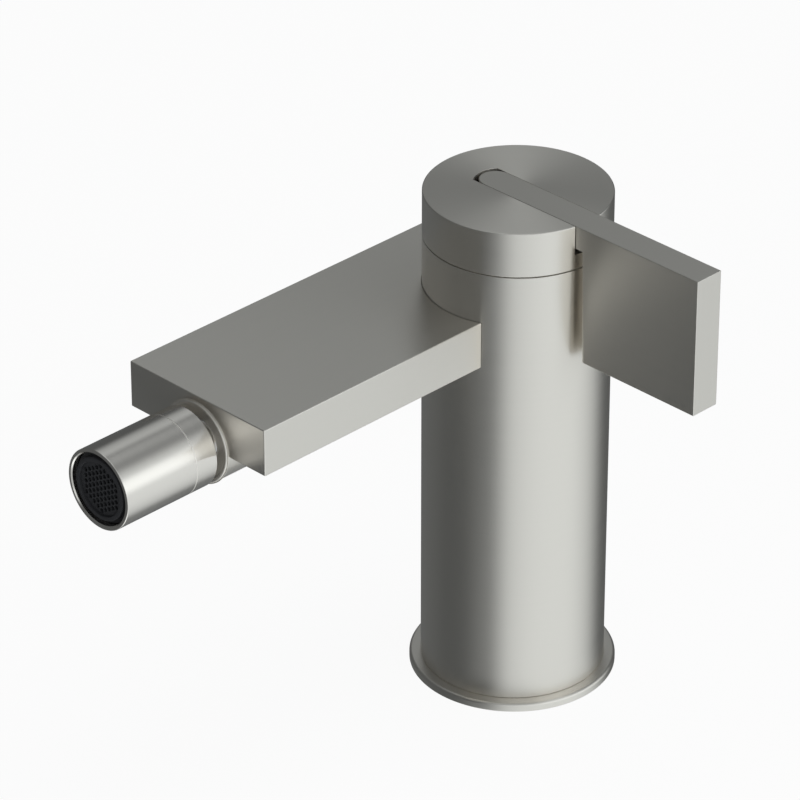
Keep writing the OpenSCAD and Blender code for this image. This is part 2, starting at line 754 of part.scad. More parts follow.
module cartridge_housing() {
    color("#e4e1da") difference() {
        union() {
            rod(cart_r, split_z + seat_fit, nut_bottom - seat_fit);
            rod(neck_r, nut_bottom - past, nut_top - slip_fit);
        }
        rod(chamber_r, split_z - past, roof_z);
        rod(journal_r + run_fit, roof_z - past, nut_top + past);
        tube(cart_groove_r, cart_r + past, cart_seal_z - cart_seal / 2 - slip_fit,
            cart_seal_z + cart_seal / 2 + slip_fit);
    }
}

module cartridge_seal() {
    color("#2b2b2b") round_ring(cavity_r - cart_seal / 2 - seat_fit / 2, cart_seal, cart_seal_z);
}

module fixed_disc() {
    color("#f1efe9") difference() {
        rod(chamber_r - slip_fit, disc_fix_z, disc_fix_top);
        for (p = inlets) translate([p[0], p[1], 0]) rod(inlet_r, disc_fix_z - past, disc_fix_top + past);
        translate([-mixed_x, 0, 0]) rod(mixed_r, disc_fix_z - past, disc_fix_top + past);
    }
}

module moving_disc() {
    color("#f7f5f0") translate([slide_x, 0, 0]) difference() {
        rod(slide_r, disc_move_z, carrier_bottom);
        translate([-mix_back, 0, 0]) rod(slide_r / 2, disc_move_z - past, disc_move_z + mix_depth);
        for (y = [-mix_side, mix_side]) translate([-mix_front, y, 0])
            rod(slide_r / 3, disc_move_z - past, disc_move_z + mix_depth);
    }
}

module disc_carrier() {
    tip = tip_r + slip_fit;
    color("#3c4a58") difference() {
        union() {
            translate([slide_x, 0, 0]) rod(slide_r, carrier_bottom, carrier_top);
            for (s = [-1, 1]) block(slide_x - rib_half, slide_x + rib_half, s * rib_y - rib_t / 2,
                s * rib_y + rib_t / 2, carrier_top - past, carrier_top + rib_h);
        }
        block(-tip, tip, -tip, tip, tip_z - tip_r - slip_fit, carrier_top + past);
    }
}

module drive_stem() {
    color("#9a9a9a") difference() {
        union() {
            block(-blade_w / 2, blade_w / 2, -blade_t / 2, blade_t / 2, pivot_z - blade_drop,
                cap_top - blade_skin - seat_fit);
            rod(shaft_r, tip_z, pivot_z - blade_drop + past);
            translate([0, 0, tip_z]) sphere(r = tip_r);
        }
        forwards(0, pivot_z) rod(pin_r + run_fit, -body_r, body_r);
    }
}

module lever() {
    nose_x = lever_t / 2 - tongue_end;
    color("#b5b2ab") difference() {
        union() {
            intersection() {
                bevel_block(-tongue_end, lever_x, -lever_t / 2, lever_t / 2, tongue_z, cap_top, lever_bevel);
                union() {
                    translate([nose_x, 0, 0]) rod(lever_t / 2, tongue_z - past, cap_top + past);
                    block(nose_x, lever_x + past, -lever_t, lever_t, tongue_z - past, cap_top + past);
                }
            }
            bevel_block(flag_x, lever_x, -lever_t / 2, lever_t / 2, cap_top - flag_h, cap_top, lever_bevel);
        }
        block(-blade_w / 2 - seat_fit, blade_w / 2 + seat_fit, -blade_t / 2 - seat_fit, blade_t / 2 + seat_fit,
            tongue_z - past, cap_top - blade_skin);
        forwards(0, pivot_z) rod(pin_r + run_fit, -body_r, body_r);
    }
}

module spindle() {
    window_x = stem_len * sin(lift_max) + shaft_r + rub_gap + seat_fit * 10;
    slot_a = turn_max + asin((stop_pin_r + rub_gap) / rim_r);
    color("#b8924f") difference() {
        union() {
            rod(journal_r, roof_z, flange_bottom + past);
            rod(flange_r, flange_bottom, flange_top);
            for (s = [-1, 1]) block(-ear_half, ear_half, s * (ear_in + ear_out) / 2 - ear_t / 2,
                s * (ear_in + ear_out) / 2 + ear_t / 2, flange_top - past, ear_top);
        }
        block(-blade_w / 2 - 2 * slip_fit, window_x, -blade_t / 2 - rub_gap, blade_t / 2 + rub_gap,
            roof_z - past, flange_top + past);
        for (s = [-1, 1]) block(slide_x - rib_half - rub_gap, rib_half - slide_x + rub_gap,
            s * rib_y - rib_t / 2 - slip_fit, s * rib_y + rib_t / 2 + slip_fit, roof_z - past,
            carrier_top + rib_h + rub_gap);
        forwards(0, pivot_z) rod(pin_r + seat_fit, -body_r, body_r);
        rotate([0, 0, 180 - slot_a]) rotate_extrude(angle = 2 * slot_a)
            translate([rim_r - stop_pin_r - rub_gap, flange_bottom - past])
            square([2 * (stop_pin_r + rub_gap), flange_t + 2 * past]);
        for (s = [-1, 1]) rotate([0, 0, s * cap_screw_a]) translate([rim_r, 0, 0]) {
            rod(cap_screw_r + seat_fit, flange_bottom - past, flange_top + past);
            rod(cap_screw_r + screw_head_over + seat_fit, flange_bottom - past, flange_bottom + screw_head_h);
        }
    }
}

module cap_screws() {
    color("#8d8d8d") for (s = [-1, 1]) rotate([0, 0, s * cap_screw_a]) translate([rim_r, 0, 0]) difference() {
        union() {
            rod(cap_screw_r, flange_bottom + seat_fit, flange_bottom + cap_screw_len);
            rod(cap_screw_r + screw_head_over, flange_bottom + seat_fit,
                flange_bottom + screw_head_h - seat_fit);
        }
        translate([0, 0, flange_bottom - past])
            cylinder(r = cap_screw_r * 0.6, h = past + screw_head_h * 0.8, $fn = 6);
    }
}

module cap() {
    low_r = body_r - cap_wall;
    c = small_edge;
    b = cap_bevel;
    color("#b5b2ab") difference() {
        turned([[low_r, cap_bottom], [body_r - c, cap_bottom], [body_r, cap_bottom + c], [body_r, cap_top - b],
            [body_r - b, cap_top], [0, cap_top], [0, ceiling_z], [pocket_r, ceiling_z], [pocket_r, ledge_z],
            [low_r, ledge_z]]);
        intersection() {
            translate([slot_nose_r - slot_end, 0, 0]) rod(slot_nose_r, ceiling_z - past, cap_top + past);
            block(-slot_end - past, 0, -slot_half, slot_half, ceiling_z - past, cap_top + past);
        }
        block(slot_nose_r / 2 - slot_end, body_r + past, -slot_half, slot_half, mouth_z, cap_top + past);
        forwards(0, pivot_z) rod(screw_head_r + slip_fit, -body_r - past, -pocket_r + past);
        for (s = [-1, 1]) rotate([0, 0, s * cap_screw_a]) translate([rim_r, 0, 0])
            rod(cap_screw_r + seat_fit, ledge_z - past, flange_bottom + cap_screw_len + rub_gap);
    }
}

module pivot_screw() {
    back = body_r - head_sink;
    color("#8d8d8d") forwards(0, pivot_z) difference() {
        union() {
            rod(pin_r, -back + past, ear_out);
            rod(screw_head_r, -back, head_len - back);
        }
        translate([0, 0, -back - past]) cylinder(r = screw_head_r * 0.6, h = past + head_len / 2, $fn = 6);
    }
}

module ring_nut() {
    color("#c9a25c") difference() {
        tube(neck_r + slip_fit, nut_r, nut_bottom, nut_top);
        for (a = [0:90:270]) rotate([0, 0, a]) block(neck_r + ring_slot_wall, nut_r + past,
            -ring_slot_w / 2, ring_slot_w / 2, nut_top - ring_slot_deep, nut_top + past);
    }
}

base_ring();
base_seal();
body_shell();
valve_body();
spout_bar();
outlet_nipple();
nipple_seals();
nozzle_boss();
swivel_nut();
swivel_washer();
cartridge_housing();
cartridge_base();
cartridge_seal();
port_seals();
fixed_disc();
ring_nut();
stop_pin();
glide_ring();
spindle();
cap();
cap_screws();
pivot_screw();
lever();
drive_stem();
disc_carrier();
moving_disc();
ball_seat();
swivel_ball();
rear_sleeve_ring();
joint_seal();
front_sleeve_ring();
aerator_cage();
aerator_grid();
flow_regulator();
filter_screen();
aerator_washer();
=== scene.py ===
import json
import math

import bmesh
import bpy
from mathutils import Matrix, Vector


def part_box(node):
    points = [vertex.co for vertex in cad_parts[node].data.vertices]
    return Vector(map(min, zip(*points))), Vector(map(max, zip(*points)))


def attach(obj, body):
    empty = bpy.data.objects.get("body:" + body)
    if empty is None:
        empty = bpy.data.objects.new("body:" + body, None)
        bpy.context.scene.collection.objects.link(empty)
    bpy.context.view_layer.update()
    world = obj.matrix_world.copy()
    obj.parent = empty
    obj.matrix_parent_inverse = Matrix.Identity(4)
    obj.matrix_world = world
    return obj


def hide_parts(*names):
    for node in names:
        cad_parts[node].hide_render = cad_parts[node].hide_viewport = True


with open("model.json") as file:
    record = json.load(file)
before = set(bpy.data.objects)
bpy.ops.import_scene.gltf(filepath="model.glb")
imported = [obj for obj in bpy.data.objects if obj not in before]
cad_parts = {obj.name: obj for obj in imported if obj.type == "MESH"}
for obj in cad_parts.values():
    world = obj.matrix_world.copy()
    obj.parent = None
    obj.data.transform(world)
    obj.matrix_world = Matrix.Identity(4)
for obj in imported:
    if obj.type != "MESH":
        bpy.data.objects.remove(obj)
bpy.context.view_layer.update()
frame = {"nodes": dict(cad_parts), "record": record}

bl_info = {
    "name": "Bidet mixer",
    "version": (1, 0, 0),
    "blender": (4, 5, 0),
    "location": "View3D > Sidebar > Mixer",
    "description": "Dresses a bidet mixer in satin nickel, with its turned, milled and moulded pieces",
    "category": "Add Mesh",
}

# A millimetre in metres, what counts as nothing, and the largest setting
MM = 0.001
TINY = 0.001 * MM
LONGEST = 50 * MM

# How far a cutter passes what it cuts, by a little and by a lot
PAST = 1 * MM
BEYOND = 1.0

X, Y, Z = range(3)
FULL_TURN = 2 * math.pi
QUARTER_TURN = FULL_TURN / 4
HALF_TURN_DEGREES = 180


def low(node):
    """Lowest corner of a node of the frame."""
    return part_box(node)[0]


def high(node):
    """Highest corner of a node of the frame."""
    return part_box(node)[1]


def rear_of(node):
    """How far forward of the body's axis a node begins."""
    return -high(node).y


def front_of(node):
    """How far forward of the body's axis a node ends."""
    return -low(node).y


NOZZLE_X = (low("front_sleeve_ring").x + high("front_sleeve_ring").x) / 2
NOZZLE_Z = (low("front_sleeve_ring").z + high("front_sleeve_ring").z) / 2
BAR_FRONT = front_of("spout_bar")


def nozzle_radius(node):
    """Radius of a node that is turned round the nozzle's axis."""
    return high(node).x - NOZZLE_X


def length(name, description, default):
    """A property that holds a length in metres."""
    return bpy.props.FloatProperty(name=name, description=description, default=default, min=0, max=LONGEST,
                                   subtype="DISTANCE", unit="LENGTH", precision=5)


def colour(name, description, default):
    """A property that holds a colour."""
    return bpy.props.FloatVectorProperty(name=name, description=description, default=default, size=3,
                                         min=0, max=1, subtype="COLOR")


def share(name, description, default):
    """A property that holds a share from 0 to 1."""
    return bpy.props.FloatProperty(name=name, description=description, default=default, min=0, max=1,
                                   subtype="FACTOR")


class MixerBodySizes(bpy.types.PropertyGroup):
    """Sizes of the base ring, the body and the cap."""

    ring_lip: length("Ring lip", "Rounding of the base ring's rim", 0.8 * MM)
    body_edge: length("Body edge", "Rounding of the body's and the cap's lower edge", 0.2 * MM)
    cap_edge: length("Cap edge", "Rounding of the cap's top edge", 0.3 * MM)
    cap_plate: length("Cap plate", "Thickness of the cap's top", 1.8 * MM)
    cap_wall: length("Cap wall", "Thickness of the cap's upper wall", 7.5 * MM)
    slot_nose: length("Slot end", "Radius of the slot's inner end", 7.2 * MM)
    slot_near: length("Slot near side", "Distance from the axis to the slot's near side", 4.6 * MM)
    slot_far: length("Slot far side", "Distance from the axis to the slot's far side", 4.42 * MM)
    slot_end: length("Slot reach", "Distance from the axis to the slot's inner end", 13.5 * MM)
    slot_depth: length("Slot depth", "Depth of the slot where it leaves the cap", 8.35 * MM)
    slot_edge: length("Slot edge", "Rounding of the slot's edges", 0.28 * MM)


class MixerSpoutSizes(bpy.types.PropertyGroup):
    """Sizes of the lever, the bar and the nozzle's mount."""

    lever_edge: length("Lever edge", "Rounding of the lever's edges", 0.2 * MM)
    tongue_depth: length("Tongue depth", "Depth of the lever's tongue", 6.3 * MM)
    flag_start: length("Flag start", "Distance from the axis to the flag", 27.1 * MM)
    flag_edge: length("Flag edge", "Rounding of the flag's edges beside the body", 1.1 * MM)
    bar_edge: length("Bar edge", "Rounding of the bar's edges", 0.35 * MM)
    body_clearance: length("Body clearance", "Gap between the bar and the body", 0.15 * MM)
    boss_clearance: length("Boss clearance", "Gap between the bar and the boss", 0.05 * MM)
    boss_radius: length("Boss radius", "Radius of the round boss under the bar", 11.3 * MM)
    lip_radius: length("Lip radius", "Radius of the lip round the nozzle's mount", 11.6 * MM)
    mouth_radius: length("Mouth radius", "Radius of the mouth in the boss's lip", 10.35 * MM)
    lip_edge: length("Lip edge", "Rounding of the boss's lip", 0.46 * MM)
    lip_step: length("Lip step", "Width of the lip's outer ring", 0.25 * MM)
    mouth_edge: length("Mouth edge", "Rounding of the lip's inner edge", 0.15 * MM)
    nut_depth: length("Nut depth", "Distance from the lip's front to the nut", 0.7 * MM)
    nut_opening: length("Nut opening", "Radius of the nut's opening", 7.0 * MM)


class MixerNozzleSizes(bpy.types.PropertyGroup):
    """Sizes of the nozzle and the aerator."""

    sleeve_edge: length("Sleeve edge", "Rounding of the nozzle's ends", 0.3 * MM)
    joint_width: length("Joint width", "Width of the bevelled line where the sleeves meet", 0.32 * MM)
    joint_depth: length("Joint depth", "Depth of the bevelled line where the sleeves meet", 0.14 * MM)
    bore: length("Bore", "Radius of the nozzle's bore", 9.85 * MM)
    rim_bevel: length("Rim bevel", "Bevel inside the nozzle's rim", 0.3 * MM)
    shoulder: length("Shoulder", "Radius of the passage behind the aerator", 7.4 * MM)
    cage_wall: length("Cage wall", "Wall of the aerator's cage", 2.3 * MM)
    collar: length("Collar", "Radius of the cage's front collar", 8.65 * MM)
    collar_depth: length("Collar depth", "Length of the cage's front collar", 1.6 * MM)
    cell_pitch: length("Cell pitch", "Distance between two cells of the grid", 1.6 * MM)
    cell_wall: length("Cell wall", "Width of a wall between two cells", 0.42 * MM)
    field: length("Field", "Radius of the grid's perforated field", 7.2 * MM)


class MixerLooks(bpy.types.PropertyGroup):
    """Colours and finishes."""

    nickel: colour("Nickel", "Colour of the satin nickel", (0.88, 0.845, 0.785))
    nickel_roughness: share("Nickel roughness", "Roughness of the satin nickel", 0.34)
    sleeve: colour("Sleeve", "Colour of the nozzle's sleeves", (0.92, 0.88, 0.825))
    sleeve_roughness: share("Sleeve roughness", "Roughness of the nozzle's sleeves", 0.18)
    stretch: share("Stretch", "How far the grain stretches the highlights", 0.8)
    plastic: colour("Plastic", "Colour of the aerator's plastic", (0.018, 0.018, 0.021))
    rubber: colour("Rubber", "Colour of the seals", (0.02, 0.02, 0.02))
    floor: colour("Floor", "Colour of the floor", (0.9, 0.9, 0.9))


# Fineness of the meshes, and the turns of a surface that count as an edge
TURN_STEPS = 144
FILLET_STEPS = 5
SHARP_TURN = math.radians(50)
CREASE_TURN = math.radians(35)

# How strongly large faces lead the shading, from 1 to 100, and the grain map's units to a metre
LARGE_FACES_LEAD = 100
GRAIN_SCALE = 10


def rounded(corners, closed=True):
    """Points of an outline in radius and height, with each corner (radius, height, rounding) as an arc."""
    points = []
    for i, (r, h, fillet) in enumerate(corners):
        here = Vector((r, h, 0))
        at_end = not closed and i in (0, len(corners) - 1)
        if fillet == 0 or at_end:
            points.append(here)
            continue
        back = (Vector((*corners[i - 1][:2], 0)) - here).normalized()
        ahead = (Vector((*corners[(i + 1) % len(corners)][:2], 0)) - here).normalized()
        half = back.angle(ahead) / 2
        centre = here + (back + ahead).normalized() * fillet / math.sin(half)
        start = here + back * fillet / math.tan(half) - centre
        end = here + ahead * fillet / math.tan(half) - centre
        for k in range(FILLET_STEPS + 1):
            points.append(centre + start.slerp(end, k / FILLET_STEPS).normalized() * fillet)
    return points


def round_end(centre, radius, far, near, steps):
    """Points round the end of an outline that faces back along X, from its far side to its near side."""
    turns = [far - (near + far) * k / steps for k in range(steps + 1)]
    return [(centre - radius * math.cos(a), radius * math.sin(a)) for a in turns]


def new_piece(name, mesh_maker):
    """An object whose mesh the maker fills."""
    bm = bmesh.new()
    mesh_maker(bm)
    mesh = bpy.data.meshes.new(name)
    bm.to_mesh(mesh)
    bm.free()
    piece = bpy.data.objects.new(name, mesh)
    bpy.context.scene.collection.objects.link(piece)
    return piece


def edit(piece, change):
    """Changes a piece's mesh."""
    bm = bmesh.new()
    bm.from_mesh(piece.data)
    change(bm)
    bm.to_mesh(piece.data)
    bm.free()


def turned(name, corners, closed=True, on_nozzle=False):
    """A solid turned round the body's axis, or round the nozzle's axis with height counted forwards."""
    points = rounded(corners, closed)

    def make(bm):
        verts = [bm.verts.new((p.x, 0, p.y)) for p in points]
        edges = [bm.edges.new(pair) for pair in zip(verts, verts[1:])]
        if closed:
            edges.append(bm.edges.new((verts[-1], verts[0])))
        bmesh.ops.spin(bm, geom=verts + edges, cent=(0, 0, 0), axis=(0, 0, 1), dvec=(0, 0, 0),
                       angle=FULL_TURN, steps=TURN_STEPS, use_merge=True)
        bmesh.ops.remove_doubles(bm, verts=bm.verts, dist=TINY)
        bmesh.ops.recalc_face_normals(bm, faces=bm.faces)
        if on_nozzle:
            bmesh.ops.transform(bm, verts=bm.verts, matrix=nozzle_place())
        turned_grain(bm, on_nozzle)

    return new_piece(name, make)


def rod(name, radius, start, end, on_nozzle=False):
    """A plain round rod between two heights, to cut with."""
    corners = [(0, start, 0), (radius, start, 0), (radius, end, 0), (0, end, 0)]
    return turned(name, corners, closed=False, on_nozzle=on_nozzle)


def nozzle_place():
    """Turns the Z axis to the nozzle's axis, which runs forwards."""
    return Matrix.Translation((NOZZLE_X, 0, NOZZLE_Z)) @ Matrix.Rotation(QUARTER_TURN, 4, "X")


def grain_layer(bm):
    """The UV map that says which way the grain runs: U goes across it."""
    return bm.loops.layers.uv.get("Grain") or bm.loops.layers.uv.new("Grain")


def turned_grain(bm, on_nozzle):
    """Grain that runs round the axis, as a lathe leaves it."""
    layer = grain_layer(bm)
    back = nozzle_place().inverted() if on_nozzle else Matrix.Identity(4)
    for face in bm.faces:
        normal = back.to_3x3() @ face.normal
        middle = back @ face.calc_center_median()
        flat = abs(normal.z) > math.hypot(normal.x, normal.y)
        home = math.atan2(middle.y, middle.x)
        for loop in face.loops:
            p = back @ loop.vert.co
            r = math.hypot(p.x, p.y)
            angle = math.atan2(p.y, p.x) if r > TINY else home
            angle += FULL_TURN * round((home - angle) / FULL_TURN)
            loop[layer].uv = ((r if flat else p.z) * GRAIN_SCALE, angle)


def milled_grain(bm, along):
    """Grain that runs along an axis, X, Y or Z, on flat faces."""
    layer = grain_layer(bm)
    for face in bm.faces:
        n = face.normal
        faced = max((X, Y, Z), key=lambda k: abs(n[k]))
        v = along if faced != along else (along + 1) % 3
        u = X + Y + Z - faced - v
        for loop in face.loops:
            loop[layer].uv = (loop.vert.co[u] * GRAIN_SCALE, loop.vert.co[v] * GRAIN_SCALE)


def settle(piece):
    """Applies a piece's modifiers."""
    graph = bpy.context.evaluated_depsgraph_get()
    mesh = bpy.data.meshes.new_from_object(piece.evaluated_get(graph))
    piece.modifiers.clear()
    piece.data = mesh


def cut(piece, cutter, operation="DIFFERENCE"):
    """Cuts a piece with another, which is used up."""
    knife = piece.modifiers.new("cut", "BOOLEAN")
    knife.operation = operation
    knife.solver = "EXACT"
    knife.object = cutter
    settle(piece)
    bpy.data.objects.remove(cutter)


def round_sharp(bm, radius, keep=lambda edge: True):
    """Rounds the sharp edges of a mesh."""
    edges = [e for e in bm.edges
             if len(e.link_faces) == 2 and e.calc_face_angle(0) > SHARP_TURN and keep(e)]
    bmesh.ops.bevel(bm, geom=edges, offset=radius, offset_type="OFFSET", segments=FILLET_STEPS, profile=0.5,
                    affect="EDGES", clamp_overlap=True, material=-1)


def block(name, corner_a, corner_b):
    """A plain block between two corners, as a start for other work."""
    a, b = Vector(corner_a), Vector(corner_b)

    def make(bm):
        bmesh.ops.create_cube(bm, size=1)
        bmesh.ops.scale(bm, verts=bm.verts, vec=b - a)
        bmesh.ops.translate(bm, verts=bm.verts, vec=(a + b) / 2)

    return new_piece(name, make)


def thicken(bm, height):
    """Draws a flat mesh up to a height."""
    risen = bmesh.ops.extrude_face_region(bm, geom=bm.faces[:])["geom"]
    tops = [g for g in risen if isinstance(g, bmesh.types.BMVert)]
    bmesh.ops.translate(bm, verts=tops, vec=(0, 0, height))


def prism(name, outline, start, end):
    """An outline in X and Y, drawn up from one height to another."""

    def make(bm):
        bm.faces.new([bm.verts.new((x, y, start)) for x, y in outline])
        thicken(bm, end - start)
        bmesh.ops.recalc_face_normals(bm, faces=bm.faces)

    return new_piece(name, make)


def finish_piece(piece, body, slot, finish, *nodes):
    """Shades a piece, gives it its material and seats it on its body in place of its nodes."""
    for polygon in piece.data.polygons:
        polygon.use_smooth = True
    edit(piece, mark_creases)
    smooth = piece.modifiers.new("even shading", "WEIGHTED_NORMAL")
    smooth.keep_sharp = True
    smooth.weight = LARGE_FACES_LEAD
    piece.data.materials.clear()
    piece.data.materials.append(material(finish))
    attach(piece, body)
    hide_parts(*nodes)


def mark_creases(bm):
    """Marks the edges that stay sharp in the shading."""
    for edge in bm.edges:
        edge.smooth = len(edge.link_faces) != 2 or edge.calc_face_angle(0) < CREASE_TURN


class NodeSheet:
    """The node tree of a material or a world, with short calls to add to it."""

    def __init__(self, owner, output="ShaderNodeOutputMaterial"):
        owner.use_nodes = True
        self.owner = owner
        self.tree = owner.node_tree
        self.tree.nodes.clear()
        self.out = self.add(output)

    def add(self, kind, **values):
        """A new node with its fields set."""
        node = self.tree.nodes.new(kind)
        for field, value in values.items():
            setattr(node, field, value)
        return node

    def link(self, source, target):
        """Joins two sockets."""
        self.tree.links.new(source, target)

    def put(self, socket, value):
        """Sets a socket to a value or joins it to another."""
        if value is None:
            return
        if isinstance(value, bpy.types.NodeSocket):
            self.link(value, socket)
        else:
            socket.default_value = value

    def fill(self, node, *values):
        """Sets or joins a node's inputs in their order, and gives its first output."""
        for socket, value in zip(node.inputs, values):
            self.put(socket, value)
        return node.outputs[0]

    def math(self, operation, a, b=None):
        """A math node on one or two values or sockets."""
        return self.fill(self.add("ShaderNodeMath", operation=operation), a, b)

    def vector(self, x, y, z):
        """A vector from three values or sockets."""
        return self.fill(self.add("ShaderNodeCombineXYZ"), x, y, z)

    def choose(self, chance, first, second):
        """A shader between two others: the first at 0, the second at 1."""
        return self.fill(self.add("ShaderNodeMixShader"), chance, first, second)

    def noise(self, vector, scale, detail):
        """A noise texture's value."""
        node = self.add("ShaderNodeTexNoise")
        self.link(vector, node.inputs["Vector"])
        node.inputs["Scale"].default_value = scale
        node.inputs["Detail"].default_value = detail
        return node.outputs["Fac"]

    def ramp(self, value, source, target, kind="LINEAR"):
        """Maps a value from one range to another."""
        return self.fill(self.add("ShaderNodeMapRange", interpolation_type=kind), value, *source, *target)

    def fade(self, value, limit, softness):
        """1 below a limit and 0 above it, with a soft edge between."""
        return self.ramp(value, (limit - softness / 2, limit + softness / 2), (1, 0), "SMOOTHSTEP")

    def tint(self, value, rgb, spread):
        """A colour that a value makes lighter and darker by a spread."""
        node = self.add("ShaderNodeMix", data_type="RGBA")
        self.link(value, node.inputs[0])
        node.inputs[6].default_value = (*[c * (1 - spread) for c in rgb], 1)
        node.inputs[7].default_value = (*[min(1, c * (1 + spread)) for c in rgb], 1)
        return node.outputs[2]

    def surface(self, colour_socket, roughness, metallic, bump, depth, **sockets):
        """Ends the tree with a shader, which takes its relief from a bump."""
        shader = self.add("ShaderNodeBsdfPrincipled")
        self.put(shader.inputs["Base Color"], colour_socket)
        self.put(shader.inputs["Roughness"], roughness)
        shader.inputs["Metallic"].default_value = metallic
        for name, value in sockets.items():
            self.put(shader.inputs[name.replace("_", " ")], value)
        relief = self.add("ShaderNodeBump")
        relief.inputs["Distance"].default_value = depth
        relief.inputs["Strength"].default_value = 1.0
        self.link(bump, relief.inputs["Height"])
        self.link(relief.outputs[0], shader.inputs["Normal"])
        self.link(shader.outputs[0], self.out.inputs["Surface"])
        return self.owner


# Scales of the grain's noise, the fine grain's share, how slowly it changes along its run, and its depth
GRAIN_FINE = 9000
GRAIN_SLEEVE = 0.6 * GRAIN_FINE
GRAIN_BROAD = 900
GRAIN_SHARE = 0.6
GRAIN_SLOW = 0.012
GRAIN_DEPTH = 0.0005 * MM

# How uneven a kind of surface is: its noises' detail, its clouds' coarseness, its tint and its roughness
SATIN = {"detail": 3.0, "tint": 0.02, "smoother": 0.03, "rougher": 0.03, "noise": (0.25, 0.75)}
METAL = {"detail": 4.0, "clouds": 12, "tint": 0.08, "smoother": 0.06, "rougher": 0.08, "noise": (0.3, 0.7)}
SKIN = {"detail": 3.0, "clouds": 20, "tint": 0.12, "smoother": 0.05, "rougher": 0.07, "noise": (0.3, 0.7)}


def uneven(sheet, kind, rgb, roughness, clouds, spots):
    """A colour that clouds tint and a roughness that spots change, by a kind of surface."""
    tinted = sheet.tint(clouds, rgb, kind["tint"])
    target = (roughness - kind["smoother"], roughness + kind["rougher"])
    return tinted, sheet.ramp(spots, kind["noise"], target)


def object_parts(sheet):
    """The object coordinates of a sheet, as three sockets and a vector."""
    place = sheet.add("ShaderNodeTexCoord").outputs["Object"]
    split = sheet.add("ShaderNodeSeparateXYZ")
    sheet.link(place, split.inputs[0])
    return (*split.outputs, place)


def slow(sheet, part):
    """A coordinate that changes slowly, for the run of the grooves."""
    return sheet.math("MULTIPLY", part, GRAIN_SLOW)


def lathe_vector(sheet, side, rise, run):
    """Coordinates that run fast across a lathe's grooves and slowly along them."""
    squares = sheet.math("ADD", sheet.math("MULTIPLY", side, side), sheet.math("MULTIPLY", rise, rise))
    across = sheet.math("SUBTRACT", run, sheet.math("SQRT", squares))
    return sheet.vector(across, slow(sheet, side), slow(sheet, rise))


def body_lathe(sheet):
    """Grooves round the body's axis."""
    x, y, z, _ = object_parts(sheet)
    return lathe_vector(sheet, x, y, z)


def nozzle_lathe(sheet):
    """Grooves round the nozzle's axis."""
    x, y, z, _ = object_parts(sheet)
    return lathe_vector(sheet, sheet.math("SUBTRACT", x, NOZZLE_X), sheet.math("SUBTRACT", z, NOZZLE_Z), y)


def lever_mill(sheet):
    """Grooves along the lever."""
    x, y, z, _ = object_parts(sheet)
    return sheet.vector(slow(sheet, x), y, z)


def bar_mill(sheet):
    """Grooves along the bar spout."""
    x, y, z, _ = object_parts(sheet)
    return sheet.vector(x, slow(sheet, y), z)


def satin_metal(name, rgb, roughness, stretch, grooves, fine=GRAIN_FINE):
    """Metal with a fine grain, which also stretches its highlights across the grain."""
    sheet = NodeSheet(bpy.data.materials.new(name))
    vector = grooves(sheet)
    grain = sheet.noise(vector, fine, SATIN["detail"])
    streaks = sheet.noise(vector, GRAIN_BROAD, SATIN["detail"] - 1)
    both = sheet.math("ADD", sheet.math("MULTIPLY", grain, GRAIN_SHARE),
                      sheet.math("MULTIPLY", streaks, 1 - GRAIN_SHARE))
    tangent = sheet.add("ShaderNodeTangent", direction_type="UV_MAP", uv_map="Grain")
    tinted, rough = uneven(sheet, SATIN, rgb, roughness, both, both)
    return sheet.surface(tinted, rough, 1.0, grain, GRAIN_DEPTH,
                         Anisotropic=stretch, Tangent=tangent.outputs[0])


def spotted(name, kind, rgb, roughness, metallic, scale, depth, **sockets):
    """A surface with fine spots in its roughness and relief, and broad clouds in its colour."""
    sheet = NodeSheet(bpy.data.materials.new(name))
    place = object_parts(sheet)[3]
    spots = sheet.noise(place, scale, kind["detail"])
    clouds = sheet.noise(place, scale / kind["clouds"], kind["detail"] - 1)
    tinted, rough = uneven(sheet, kind, rgb, roughness, clouds, spots)
    return sheet.surface(tinted, rough, metallic, spots, depth, **sockets)


def plain_metal(name, rgb, roughness, scale=3000, depth=0.004 * MM):
    """Machined or cast metal without a clear grain."""
    return spotted(name, METAL, rgb, roughness, metallic=1.0, scale=scale, depth=depth)


def moulded(name, rgb, roughness, scale=5000, depth=0.004 * MM, **sockets):
    """Plastic, rubber or ceramic with a fine skin."""
    return spotted(name, SKIN, rgb, roughness, metallic=0.0, scale=scale, depth=depth, **sockets)


def nickel(name, grooves, **changes):
    """Satin nickel with grooves of its own, and with changes to its looks."""
    looks = bpy.context.scene.mixer_looks
    values = {"rgb": tuple(looks.nickel), "roughness": looks.nickel_roughness, "stretch": looks.stretch}
    return satin_metal(name, grooves=grooves, **{**values, **changes})


def matte_nickel(name):
    """The duller nickel of the narrow rings round the nozzle, whose paler colour is a painted highlight."""
    # Painted highlight: the colour is paler than the satin nickel's so the lip, the joint line and the nut
    # render brighter
    return nickel(name, nozzle_lathe, rgb=(0.97, 0.93, 0.87), roughness=0.5, stretch=0.2)


def turned_sleeve(name):
    """The smoother, lighter satin of the nozzle's sleeves."""
    looks = bpy.context.scene.mixer_looks
    return nickel(name, nozzle_lathe, rgb=tuple(looks.sleeve), roughness=looks.sleeve_roughness,
                  fine=GRAIN_SLEEVE)


def cast_brass(name):
    """Brass with the coarse skin of its mould."""
    return plain_metal(name, rgb=(0.62, 0.46, 0.22), roughness=0.42, scale=1500, depth=0.02 * MM)


def black_rubber(name):
    """The seals' rubber."""
    looks = bpy.context.scene.mixer_looks
    return moulded(name, rgb=tuple(looks.rubber), roughness=0.62, scale=2500, depth=0.01 * MM)


def black_plastic(name):
    """The aerator's plastic."""
    looks = bpy.context.scene.mixer_looks
    return moulded(name, rgb=tuple(looks.plastic), roughness=0.38)


